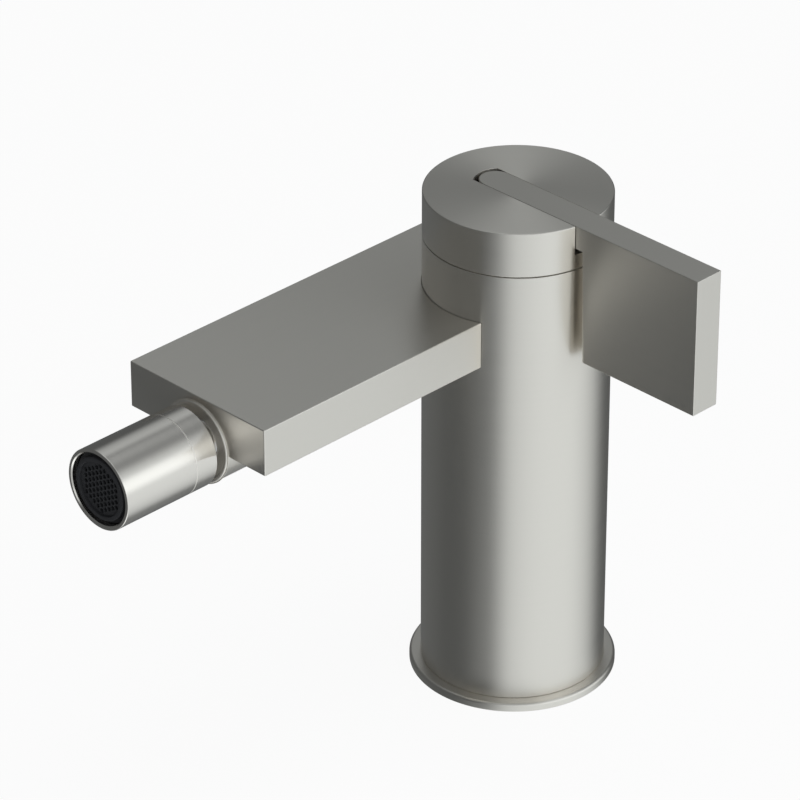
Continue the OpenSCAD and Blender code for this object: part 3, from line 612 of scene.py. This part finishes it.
def ceramic(name):
    """The discs' polished ceramic."""
    return moulded(name, rgb=(0.85, 0.84, 0.8), roughness=0.16, scale=9000, depth=0.001 * MM,
                   Coat_Weight=0.4)


FINISHES = {
    "turned_nickel": lambda name: nickel(name, body_lathe),
    "nozzle_nickel": lambda name: nickel(name, nozzle_lathe),
    "matte_nickel": matte_nickel,
    "milled_nickel": lambda name: nickel(name, bar_mill),
    "lever_nickel": lambda name: nickel(name, lever_mill, stretch=0.9),
    "turned_sleeve": turned_sleeve,
    "bright_steel": lambda name: plain_metal(name, rgb=(0.55, 0.53, 0.48), roughness=0.4),
    "plain_steel": lambda name: plain_metal(name, rgb=(0.42, 0.42, 0.42), roughness=0.32),
    "cast_brass": cast_brass,
    "turned_brass": lambda name: plain_metal(name, rgb=(0.7, 0.52, 0.26), roughness=0.26),
    "black_rubber": black_rubber,
    "black_plastic": black_plastic,
    "white_plastic": lambda name: moulded(name, rgb=(0.8, 0.78, 0.72), roughness=0.42),
    "blue_plastic": lambda name: moulded(name, rgb=(0.05, 0.08, 0.13), roughness=0.4),
    "ceramic": ceramic,
}

# Finishes of the frame's own nodes in the satin slots, because satin needs a grain map that they don't have
PLAIN_FINISHES = {"brushed_nickel": "plain_steel", "satin_sleeve": "bright_steel"}


def material(name):
    """A finish by its name, made once."""
    return bpy.data.materials.get(name) or FINISHES[name](name)


class MIXER_OT_inner_parts(bpy.types.Operator):
    """Gives every node of the frame its finish"""

    bl_idname = "mixer.inner_parts"
    bl_label = "Inner parts"

    def execute(self, context):
        for part in frame["record"]["subparts"]:
            slot = part["material_slot"]
            node = frame["nodes"][part["node"]]
            node.data.materials.clear()
            node.data.materials.append(material(PLAIN_FINISHES.get(slot, slot)))
        return {"FINISHED"}


# Gap round the core, the spindle and the pivot screw's head
SLIP_GAP = 0.1 * MM


class MIXER_OT_body(bpy.types.Operator):
    """Makes the base ring and the body's shell"""

    bl_idname = "mixer.body"
    bl_label = "Base ring and body"

    def execute(self, context):
        sizes = context.scene.mixer_body
        inner = high("valve_body").x + SLIP_GAP
        self.make_ring(sizes, inner)
        self.make_shell(sizes, inner)
        return {"FINISHED"}

    @staticmethod
    def make_ring(sizes, inner):
        """The thin ring that the body stands on."""
        r, top = high("base_ring").x, high("base_ring").z
        ring = turned("foot_ring", [
            (inner, 0, 0),
            (r, 0, sizes.body_edge),
            (r, top, sizes.ring_lip),
            (inner, top, 0),
        ])
        finish_piece(ring, "mixer_body", "brushed_nickel", "turned_nickel", "base_ring")

    @staticmethod
    def make_shell(sizes, inner):
        """The body's outer tube, with the glide ring's seat in its top."""
        r, bottom, top = high("body_shell").x, low("body_shell").z, high("body_shell").z
        seat_r, seat = high("glide_ring").x, low("glide_ring").z
        shell = turned("body_sleeve", [
            (inner, bottom, 0),
            (r, bottom, sizes.body_edge),
            (r, top, sizes.body_edge),
            (seat_r, top, 0),
            (seat_r, seat, 0),
            (inner, seat, 0),
        ])
        finish_piece(shell, "mixer_body", "brushed_nickel", "turned_nickel", "body_shell")


# Height of the cap's ledge, how far from the slot an edge may lie and be its own, and the cuts' fineness
LEDGE_HEIGHT = 2.65 * MM
SLOT_MARGIN = 0.2 * MM
SLOT_STEPS = 12
HOLE_STEPS = 48


class MIXER_OT_cap(bpy.types.Operator):
    """Makes the turning cap with the lever's slot"""

    bl_idname = "mixer.cap"
    bl_label = "Cap"

    def execute(self, context):
        sizes = context.scene.mixer_body
        cap = self.make_cup(sizes)
        cut(cap, self.slot(sizes))
        cut(cap, self.screw_hole())
        side = sizes.slot_near + SLOT_MARGIN
        floor = high("cap").z - sizes.slot_depth - SLOT_MARGIN

        def on_slot(edge):
            """Says whether an edge is the slot's own."""
            return all(abs(v.co.y) < side and v.co.z > floor for v in edge.verts)

        def soften(bm):
            round_sharp(bm, sizes.slot_edge, on_slot)
            turned_grain(bm, False)

        edit(cap, soften)
        finish_piece(cap, "turret", "brushed_nickel", "turned_nickel", "cap")
        return {"FINISHED"}

    @staticmethod
    def make_cup(sizes):
        """The cap before it is cut: an upturned cup over the spindle."""
        r, bottom, top = high("cap").x, low("cap").z, high("cap").z
        ceiling, ledge = top - sizes.cap_plate, bottom + LEDGE_HEIGHT
        lower, upper = high("spindle").x + SLIP_GAP, r - sizes.cap_wall
        return turned("turning_cap", [
            (0, top, 0),
            (r, top, sizes.cap_edge),
            (r, bottom, sizes.body_edge),
            (lower, bottom, 0),
            (lower, ledge, 0),
            (upper, ledge, 0),
            (upper, ceiling, 0),
            (0, ceiling, 0),
        ], closed=False)

    @staticmethod
    def slot(sizes):
        """The room for the lever, open to the cap's side and top."""
        r, top = high("cap").x, high("cap").z
        near = math.asin(sizes.slot_near / sizes.slot_nose)
        far = math.asin(sizes.slot_far / sizes.slot_nose)
        nose = round_end(sizes.slot_nose - sizes.slot_end, sizes.slot_nose, far, near, SLOT_STEPS)
        outline = [(2 * r, sizes.slot_far), *nose, (2 * r, -sizes.slot_near)]
        return prism("slot", outline, top - sizes.slot_depth, top + r)

    @staticmethod
    def screw_hole():
        """The hole in the cap's back for the pivot screw."""
        radius, reach = high("pivot_screw").x + SLIP_GAP, high("cap").x
        height = (high("pivot_screw").z + low("pivot_screw").z) / 2

        def make(bm):
            bmesh.ops.create_cone(bm, cap_ends=True, segments=HOLE_STEPS, radius1=radius, radius2=radius,
                                  depth=reach / 2)
            backwards = Matrix.Rotation(QUARTER_TURN, 3, "X")
            bmesh.ops.rotate(bm, verts=bm.verts, cent=(0, 0, 0), matrix=backwards)
            bmesh.ops.translate(bm, verts=bm.verts, vec=(0, reach, height))

        return new_piece("hole", make)


# Fineness of the lever's round end, and what makes an edge one of the flag's upright ones beside the body
LEVER_STEPS = 24
UPRIGHT_LENGTH = 20 * MM
UPRIGHT_MARGIN = 0.01 * MM


class MIXER_OT_lever(bpy.types.Operator):
    """Makes the flag-shaped lever"""

    bl_idname = "mixer.lever"
    bl_label = "Lever"

    def execute(self, context):
        sizes = context.scene.mixer_spout
        a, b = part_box("lever")
        lever = block("flag_lever", (a.x - PAST, a.y, a.z), (b.x, b.y, b.z))
        under = block("under", (a.x - 2 * PAST, -BEYOND, a.z - BEYOND),
                      (sizes.flag_start, BEYOND, b.z - sizes.tongue_depth))
        cut(lever, under)
        cut(lever, prism("plan", self.plan(a, b), a.z - BEYOND, b.z + BEYOND), "INTERSECT")

        def soften(bm):
            bmesh.ops.remove_doubles(bm, verts=bm.verts, dist=TINY)
            round_sharp(bm, sizes.flag_edge, self.beside_body)
            round_sharp(bm, sizes.lever_edge)
            milled_grain(bm, X)

        edit(lever, soften)
        finish_piece(lever, "lever_arm", "brushed_nickel", "lever_nickel", "lever")
        return {"FINISHED"}

    @staticmethod
    def plan(a, b):
        """The lever's outline from above, with a round inner end and room to spare elsewhere."""
        half = (b.y - a.y) / 2
        wide, start, end = half + PAST, a.x + half + PAST, 2 * b.x
        far_side = [(end, wide), (start, wide), (start, half)]
        near_side = [(start, -half), (start, -wide), (end, -wide)]
        nose = round_end(a.x + half, half, QUARTER_TURN, QUARTER_TURN, LEVER_STEPS)
        return [*far_side, *nose, *near_side]

    @staticmethod
    def beside_body(edge):
        """Says whether an edge is one of the flag's upright edges beside the body."""
        start = bpy.context.scene.mixer_spout.flag_start
        on_side = all(abs(v.co.x - start) < UPRIGHT_MARGIN for v in edge.verts)
        return on_side and edge.calc_length() > UPRIGHT_LENGTH


# The boss's floor, the lip's depth in the bar, its gap to the bar, its low ring's edge, and its groove
BOSS_FLOOR = 3 * MM
LIP_SEAT = 0.2 * MM
LIP_GAP = 0.03 * MM
LIP_EDGE = 0.06 * MM
GROOVE_HEIGHT = 0.12 * MM
GROOVE_DEPTH = 0.1 * MM
GROOVE_WIDTH = 0.08 * MM

# Roundings of the swivel nut, and the opening that widens behind its front
NUT_REAR_EDGE = 0.1 * MM
NUT_FRONT_EDGE = 0.15 * MM
NUT_OPENING_EDGE = 0.3 * MM
NUT_OPENING_DEPTH = 1.2 * MM
NUT_FLARE = 1.6 * MM


class MIXER_OT_spout(bpy.types.Operator):
    """Makes the bar spout and the nozzle's mount"""

    bl_idname = "mixer.spout"
    bl_label = "Bar spout and boss"

    def execute(self, context):
        sizes = context.scene.mixer_spout
        nut_front = front_of("nozzle_boss") - sizes.nut_depth
        self.make_bar(sizes)
        self.make_boss(sizes, nut_front)
        self.make_lip(sizes)
        self.make_nut(sizes, nut_front)
        return {"FINISHED"}

    @staticmethod
    def make_bar(sizes):
        """The flat bar, notched round the body, with the boss's seat in its underside."""
        a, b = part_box("spout_bar")
        bar = block("bar_spout", a, b)
        edit(bar, lambda bm: round_sharp(bm, sizes.bar_edge))
        notch_r = high("body_shell").x + sizes.body_clearance
        seat_r = sizes.boss_radius + sizes.boss_clearance
        seat_rear = rear_of("nozzle_boss") - sizes.boss_clearance
        cut(bar, rod("notch", notch_r, a.z - PAST, b.z + PAST))
        cut(bar, rod("seat", seat_r, seat_rear, BAR_FRONT + PAST, on_nozzle=True))

        def clean(bm):
            bmesh.ops.remove_doubles(bm, verts=bm.verts, dist=TINY)
            milled_grain(bm, Y)

        edit(bar, clean)
        finish_piece(bar, "mixer_body", "brushed_nickel", "milled_nickel", "spout_bar")

    @staticmethod
    def make_boss(sizes, nut_front):
        """The round boss under the bar, with the room for the ball and its nut."""
        rear, seat = rear_of("nozzle_boss"), BAR_FRONT - LIP_SEAT
        inner, floor = nozzle_radius("swivel_nut"), rear + BOSS_FLOOR
        boss = turned("nozzle_socket", [
            (0, rear, 0),
            (sizes.boss_radius, rear, sizes.bar_edge),
            (sizes.boss_radius, seat, 0),
            (sizes.mouth_radius, seat, 0),
            (sizes.mouth_radius, nut_front, 0),
            (inner, nut_front, 0),
            (inner, floor, 0),
            (0, floor, 0),
        ], closed=False, on_nozzle=True)
        finish_piece(boss, "mixer_body", "brushed_nickel", "nozzle_nickel", "nozzle_boss")

    @staticmethod
    def make_lip(sizes):
        """The lip round the nozzle's mount: a bead, a narrow groove and a low ring outside it."""
        seat, foot, lip = BAR_FRONT - LIP_SEAT, BAR_FRONT + LIP_GAP, front_of("nozzle_boss")
        groove = BAR_FRONT + GROOVE_HEIGHT
        step, bead_r = groove + GROOVE_DEPTH, sizes.lip_radius - sizes.lip_step
        ring = turned("nozzle_lip", [
            (sizes.mouth_radius, seat, 0),
            (sizes.boss_radius, seat, 0),
            (sizes.boss_radius, foot, 0),
            (sizes.lip_radius, foot, 0),
            (sizes.lip_radius, step, LIP_EDGE),
            (bead_r + GROOVE_WIDTH, step, 0),
            (bead_r, groove, 0),
            (bead_r, lip, sizes.lip_edge),
            (sizes.mouth_radius, lip, sizes.mouth_edge),
        ], on_nozzle=True)
        # The matte nickel's paler colour paints the lip's highlight, on top of its real duller finish
        finish_piece(ring, "mixer_body", "brushed_nickel", "matte_nickel", "nozzle_boss")

    @staticmethod
    def make_nut(sizes, front):
        """The ring that holds the ball in the boss."""
        r, rear, opening = nozzle_radius("swivel_nut"), rear_of("swivel_nut"), sizes.nut_opening
        nut = turned("retaining_nut", [
            (r, rear, NUT_REAR_EDGE),
            (r, front, NUT_FRONT_EDGE),
            (opening, front, NUT_OPENING_EDGE),
            (opening, front - NUT_OPENING_DEPTH, 0),
            (opening + NUT_FLARE, rear, 0),
        ], on_nozzle=True)
        finish_piece(nut, "mixer_body", "plain_steel", "matte_nickel", "swivel_nut")


# The rear sleeve's bore round the ball's neck, its recess and floor, and its spigot in the front sleeve
NECK_BORE = 5.25 * MM
NECK_RECESS = 0.8 * MM
REAR_FLOOR = 1 * MM
SPIGOT_RADIUS = 9.4 * MM
SPIGOT_CLEARANCE = 0.05 * MM

# The line where the sleeves meet, and the front sleeve's inner shoulder
BEVEL_INSET = 0.01 * MM
LINE_EDGE = 0.03 * MM
SHOULDER_GAP = 0.9 * MM
SHOULDER_LENGTH = 1.8 * MM


class MIXER_OT_nozzle(bpy.types.Operator):
    """Makes the swivelling nozzle's two sleeves and the line between them"""

    bl_idname = "mixer.nozzle"
    bl_label = "Nozzle"

    def execute(self, context):
        sizes = context.scene.mixer_nozzle
        r, joint = nozzle_radius("front_sleeve_ring"), rear_of("front_sleeve_ring")
        line, spigot = joint - sizes.joint_width, front_of("rear_sleeve_ring")
        self.make_rear(sizes, r, line, joint, spigot)
        self.make_line(sizes, r, line, joint)
        self.make_front(sizes, r, joint, spigot)
        return {"FINISHED"}

    @staticmethod
    def make_rear(sizes, r, line, joint, spigot):
        """The rear sleeve, which carries the ball's neck."""
        rear, floor = rear_of("rear_sleeve_ring"), joint - REAR_FLOOR
        sleeve_ring = turned("nozzle_rear", [
            (NECK_BORE, rear + NECK_RECESS, 0),
            (sizes.shoulder, rear + NECK_RECESS, 0),
            (sizes.shoulder, rear, 0),
            (r, rear, sizes.sleeve_edge),
            (r, line, 0),
            (SPIGOT_RADIUS, line, 0),
            (SPIGOT_RADIUS, spigot, 0),
            (sizes.shoulder, spigot, 0),
            (sizes.shoulder, floor, 0),
            (NECK_BORE, floor, 0),
        ], on_nozzle=True)
        finish_piece(sleeve_ring, "nozzle", "satin_sleeve", "turned_sleeve", "rear_sleeve_ring")

    @staticmethod
    def make_line(sizes, r, line, joint):
        """The bevelled line where the sleeves meet."""
        bevel = turned("nozzle_joint", [
            (SPIGOT_RADIUS, line, 0),
            (r - BEVEL_INSET, line, 0),
            (r - sizes.joint_depth, joint, 0),
            (SPIGOT_RADIUS, joint, 0),
        ], on_nozzle=True)
        # The matte nickel's paler colour paints the joint line's highlight
        finish_piece(bevel, "nozzle", "satin_sleeve", "matte_nickel", "rear_sleeve_ring")

    @staticmethod
    def make_front(sizes, r, joint, spigot):
        """The front sleeve, which holds the aerator."""
        rim, inner = front_of("front_sleeve_ring"), SPIGOT_RADIUS + SPIGOT_CLEARANCE
        shoulder_rear = spigot + SHOULDER_GAP
        shoulder_front = shoulder_rear + SHOULDER_LENGTH
        sleeve_ring = turned("nozzle_front", [
            (inner, joint, 0),
            (r, joint, LINE_EDGE),
            (r, rim, sizes.sleeve_edge),
            (sizes.bore + sizes.rim_bevel, rim, 0),
            (sizes.bore, rim - sizes.rim_bevel, 0),
            (sizes.bore, shoulder_front, 0),
            (sizes.shoulder, shoulder_front, 0),
            (sizes.shoulder, shoulder_rear, 0),
            (inner, shoulder_rear, 0),
        ], on_nozzle=True)
        finish_piece(sleeve_ring, "nozzle", "satin_sleeve", "turned_sleeve", "front_sleeve_ring")


# The aerator's cage: its place, its ledge for the filter screen and its roundings
CAGE_FORWARD = 0.4 * MM
LEDGE_WIDTH = 0.4 * MM
LEDGE_DEPTH = 0.9 * MM
CAGE_REAR_EDGE = 0.1 * MM
CAGE_SHOULDER_EDGE = 0.15 * MM
COLLAR_OUTER_EDGE = 0.3 * MM
COLLAR_INNER_EDGE = 0.2 * MM

# The grid's gap to the cage, the fineness of its rim and the sides of a cell
GRID_GAP = 0.05 * MM
GRID_STEPS = 96
CELL_SIDES = 6


class MIXER_OT_aerator(bpy.types.Operator):
    """Makes the aerator's ring and its honeycomb grid"""

    bl_idname = "mixer.aerator"
    bl_label = "Aerator"

    def execute(self, context):
        sizes = context.scene.mixer_nozzle
        r = nozzle_radius("aerator_cage")
        inner = r - sizes.cage_wall
        self.make_cage(sizes, r, inner)
        grid = new_piece("aerator_mesh", lambda bm: self.honeycomb(bm, sizes, inner - GRID_GAP))
        finish_piece(grid, "nozzle", "black_plastic", "black_plastic", "aerator_grid")
        return {"FINISHED"}

    @staticmethod
    def make_cage(sizes, r, inner):
        """The black ring in the nozzle's mouth, with a ledge at its back and a collar in front."""
        back, front = rear_of("aerator_cage"), front_of("aerator_cage") + CAGE_FORWARD
        neck, ledge, shoulder = inner - LEDGE_WIDTH, back + LEDGE_DEPTH, front - sizes.collar_depth
        cage = turned("aerator_ring", [
            (neck, back, 0),
            (r, back, CAGE_REAR_EDGE),
            (r, shoulder, CAGE_SHOULDER_EDGE),
            (sizes.collar, shoulder, 0),
            (sizes.collar, front, COLLAR_OUTER_EDGE),
            (inner, front, COLLAR_INNER_EDGE),
            (inner, ledge, 0),
            (neck, ledge, 0),
        ], on_nozzle=True)
        finish_piece(cage, "nozzle", "black_plastic", "black_plastic", "aerator_cage")

    @staticmethod
    def honeycomb(bm, sizes, radius):
        """A disc with hexagonal cells through it."""
        pitch, side = sizes.cell_pitch, (sizes.cell_pitch - sizes.cell_wall) / math.sqrt(3)
        upright = Matrix.Rotation(QUARTER_TURN, 4, "Z")
        reach = math.ceil(2 * sizes.field / pitch)
        bmesh.ops.create_circle(bm, segments=GRID_STEPS, radius=radius)
        for i in range(-reach, reach + 1):
            for j in range(-reach, reach + 1):
                place = Vector((pitch * j * math.sqrt(3) / 2, pitch * (i + j / 2), 0))
                if place.length < sizes.field - pitch / 2:
                    bmesh.ops.create_circle(bm, segments=CELL_SIDES, radius=side,
                                            matrix=Matrix.Translation(place) @ upright)
        bmesh.ops.triangle_fill(bm, use_beauty=True, edges=bm.edges[:])
        rear = rear_of("aerator_grid")
        thicken(bm, front_of("aerator_grid") - rear)
        bmesh.ops.translate(bm, verts=bm.verts, vec=(0, 0, rear))
        bmesh.ops.transform(bm, verts=bm.verts, matrix=nozzle_place())
        bmesh.ops.recalc_face_normals(bm, faces=bm.faces)


# The photograph's view: place and reach in metres, turns in degrees, lens and sensor in millimetres
CAMERA_PLACE = (0.76315, -0.80456, 0.72817)
CAMERA_DOWN = 30.3411
CAMERA_ROUND = 45.0707
CAMERA_LENS = 217.67
CAMERA_SENSOR = 36
CAMERA_SHIFT = 0.00554
CAMERA_NEAR = 0.01
CAMERA_FAR = 100

# The floor, with the share of plain white that the camera sees in it, and the lamp above it
FLOOR_SIZE = 30.0
FLOOR_WHITE = 0.94
LAMP_PLACE = (0.15, 0.1, 1.1)
LAMP_SIZE = 0.7
LAMP_POWER = 3

# The backdrop's colour, the studio's colour and its strength where no soft box is
WHITE = (1, 1, 1, 1)
LIGHT_COLOUR = (0.955, 1.0, 1.015, 1)
AMBIENT = 0.092


def soft_box(azimuth, elevation, width, height, soft_side, soft_end, strength):
    """A soft box of the studio, in degrees, with the azimuth counted from +X to +Y."""
    return {"azimuth": azimuth, "elevation": elevation, "width": width, "height": height,
            "soft_side": soft_side, "soft_end": soft_end, "strength": strength}


# The studio, box by box: middle, width and height, softness of the sides and of the ends, and strength
SOFT_BOXES = (
    soft_box(4, -12, 132, 104, 36, 40, 0.46),
    soft_box(9, -12, 72, 80, 50, 50, 0.26),
    soft_box(0, 12, 140, 28, 40, 20, 0.35),
    soft_box(15, 48, 50, 20, 20, 20, 0.5),
    soft_box(105, 72, 120, 22, 40, 16, 0.38),
    soft_box(-45, 62, 60, 18, 30, 20, 0.18),
    soft_box(180, -30, 60, 40, 30, 30, 0.03),
    soft_box(0, 90, 360, 72, 10, 36, 0.25),
    soft_box(0, -90, 360, 60, 10, 30, 0.3),
    soft_box(-60, -66, 100, 30, 40, 28, 0.8),
    soft_box(135, 48, 30, 40, 20, 20, 0.29),
    soft_box(140, -45, 60, 30, 40, 30, 0.05),
)


class MIXER_OT_stage(bpy.types.Operator):
    """Makes the camera, the floor and the studio's light"""

    bl_idname = "mixer.stage"
    bl_label = "Stage"

    def execute(self, context):
        self.make_camera(context.scene)
        self.make_floor(context.scene)
        self.make_world(context.scene)
        self.make_lamp(context.scene)
        context.scene.view_settings.view_transform = "Standard"
        return {"FINISHED"}

    @staticmethod
    def make_camera(scene):
        """The camera that has the photograph's view."""
        data = bpy.data.cameras.new("view")
        data.lens = CAMERA_LENS
        data.sensor_width = CAMERA_SENSOR
        data.shift_y = CAMERA_SHIFT
        data.clip_start, data.clip_end = CAMERA_NEAR, CAMERA_FAR
        camera = bpy.data.objects.new("view", data)
        camera.location = CAMERA_PLACE
        camera.rotation_euler = (math.radians(90 - CAMERA_DOWN), 0, math.radians(CAMERA_ROUND))
        scene.collection.objects.link(camera)
        scene.camera = camera

    @staticmethod
    def make_floor(scene):
        """A plain pale floor, which metal does not mirror."""
        sheet = NodeSheet(bpy.data.materials.new("floor"))
        matte = sheet.add("ShaderNodeBsdfDiffuse")
        matte.inputs["Color"].default_value = (*scene.mixer_looks.floor, 1)
        pale = sheet.add("ShaderNodeEmission")
        pale.inputs["Color"].default_value = WHITE
        pale.inputs["Strength"].default_value = 1.0
        seen = sheet.choose(FLOOR_WHITE, matte.outputs[0], pale.outputs[0])
        camera_ray = sheet.add("ShaderNodeLightPath").outputs["Is Camera Ray"]
        sheet.link(sheet.choose(camera_ray, matte.outputs[0], seen), sheet.out.inputs["Surface"])
        floor = new_piece("floor", lambda bm: bmesh.ops.create_grid(bm, x_segments=1, y_segments=1,
                                                                     size=FLOOR_SIZE / 2))
        floor.data.materials.append(sheet.owner)
        floor.visible_glossy = False

    @staticmethod
    def make_world(scene):
        """A white backdrop for the camera, and a studio of large soft boxes for the light."""
        world = bpy.data.worlds.new("studio")
        scene.world = world
        sheet = NodeSheet(world, "ShaderNodeOutputWorld")
        split = sheet.add("ShaderNodeSeparateXYZ")
        sheet.link(sheet.add("ShaderNodeTexCoord").outputs["Generated"], split.inputs[0])
        x, y, z = split.outputs
        azimuth = sheet.math("DEGREES", sheet.math("ARCTAN2", y, x))
        elevation = sheet.math("DEGREES", sheet.math("ARCSINE", z))
        level = AMBIENT
        for box in SOFT_BOXES:
            turn = sheet.math("SUBTRACT", azimuth, box["azimuth"])
            side = sheet.math("PINGPONG", turn, HALF_TURN_DEGREES)
            rise = sheet.math("ABSOLUTE", sheet.math("SUBTRACT", elevation, box["elevation"]))
            across = sheet.fade(side, box["width"] / 2, box["soft_side"])
            along = sheet.fade(rise, box["height"] / 2, box["soft_end"])
            glow = sheet.math("MULTIPLY", sheet.math("MULTIPLY", across, along), box["strength"])
            level = sheet.math("ADD", glow, level)
        studio = sheet.add("ShaderNodeBackground")
        studio.inputs["Color"].default_value = LIGHT_COLOUR
        sheet.link(level, studio.inputs["Strength"])
        backdrop = sheet.add("ShaderNodeBackground")
        backdrop.inputs["Color"].default_value = WHITE
        camera_ray = sheet.add("ShaderNodeLightPath").outputs["Is Camera Ray"]
        chosen = sheet.choose(camera_ray, studio.outputs[0], backdrop.outputs[0])
        sheet.link(chosen, sheet.out.inputs["Surface"])

    @staticmethod
    def make_lamp(scene):
        """A large soft lamp overhead, for the floor's shadow."""
        data = bpy.data.lights.new("overhead", "AREA")
        data.shape = "DISK"
        data.size = LAMP_SIZE
        data.energy = LAMP_POWER
        lamp = bpy.data.objects.new("overhead", data)
        lamp.visible_glossy = False
        lamp.location = LAMP_PLACE
        lamp.rotation_euler = (-lamp.location).to_track_quat("-Z", "Y").to_euler()
        scene.collection.objects.link(lamp)


class MIXER_PT_panel(bpy.types.Panel):
    """The mixer's pieces, with their sizes"""

    bl_idname = "MIXER_PT_panel"
    bl_label = "Bidet mixer"
    bl_space_type = "VIEW_3D"
    bl_region_type = "UI"
    bl_category = "Mixer"

    def draw(self, context):
        for name, group in GROUPS.items():
            box = self.layout.box()
            for field in group.__annotations__:
                box.prop(getattr(context.scene, name), field)
        for operator in OPERATORS:
            self.layout.operator(operator.bl_idname)


GROUPS = {
    "mixer_body": MixerBodySizes,
    "mixer_spout": MixerSpoutSizes,
    "mixer_nozzle": MixerNozzleSizes,
    "mixer_looks": MixerLooks,
}
OPERATORS = (
    MIXER_OT_inner_parts,
    MIXER_OT_body,
    MIXER_OT_cap,
    MIXER_OT_lever,
    MIXER_OT_spout,
    MIXER_OT_nozzle,
    MIXER_OT_aerator,
    MIXER_OT_stage,
)


def register():
    """Registers the settings, the operators and the panel."""
    for name, group in GROUPS.items():
        bpy.utils.register_class(group)
        setattr(bpy.types.Scene, name, bpy.props.PointerProperty(type=group))
    for cls in (*OPERATORS, MIXER_PT_panel):
        bpy.utils.register_class(cls)


def unregister():
    """Takes out what register put in."""
    for cls in (MIXER_PT_panel, *reversed(OPERATORS)):
        bpy.utils.unregister_class(cls)
    for name, group in GROUPS.items():
        delattr(bpy.types.Scene, name)
        bpy.utils.unregister_class(group)


def main():
    """Registers the settings and makes every piece."""
    register()
    for operator in OPERATORS:
        group, name = operator.bl_idname.split(".")
        getattr(getattr(bpy.ops, group), name)()


if __name__ == "__main__":
    main()
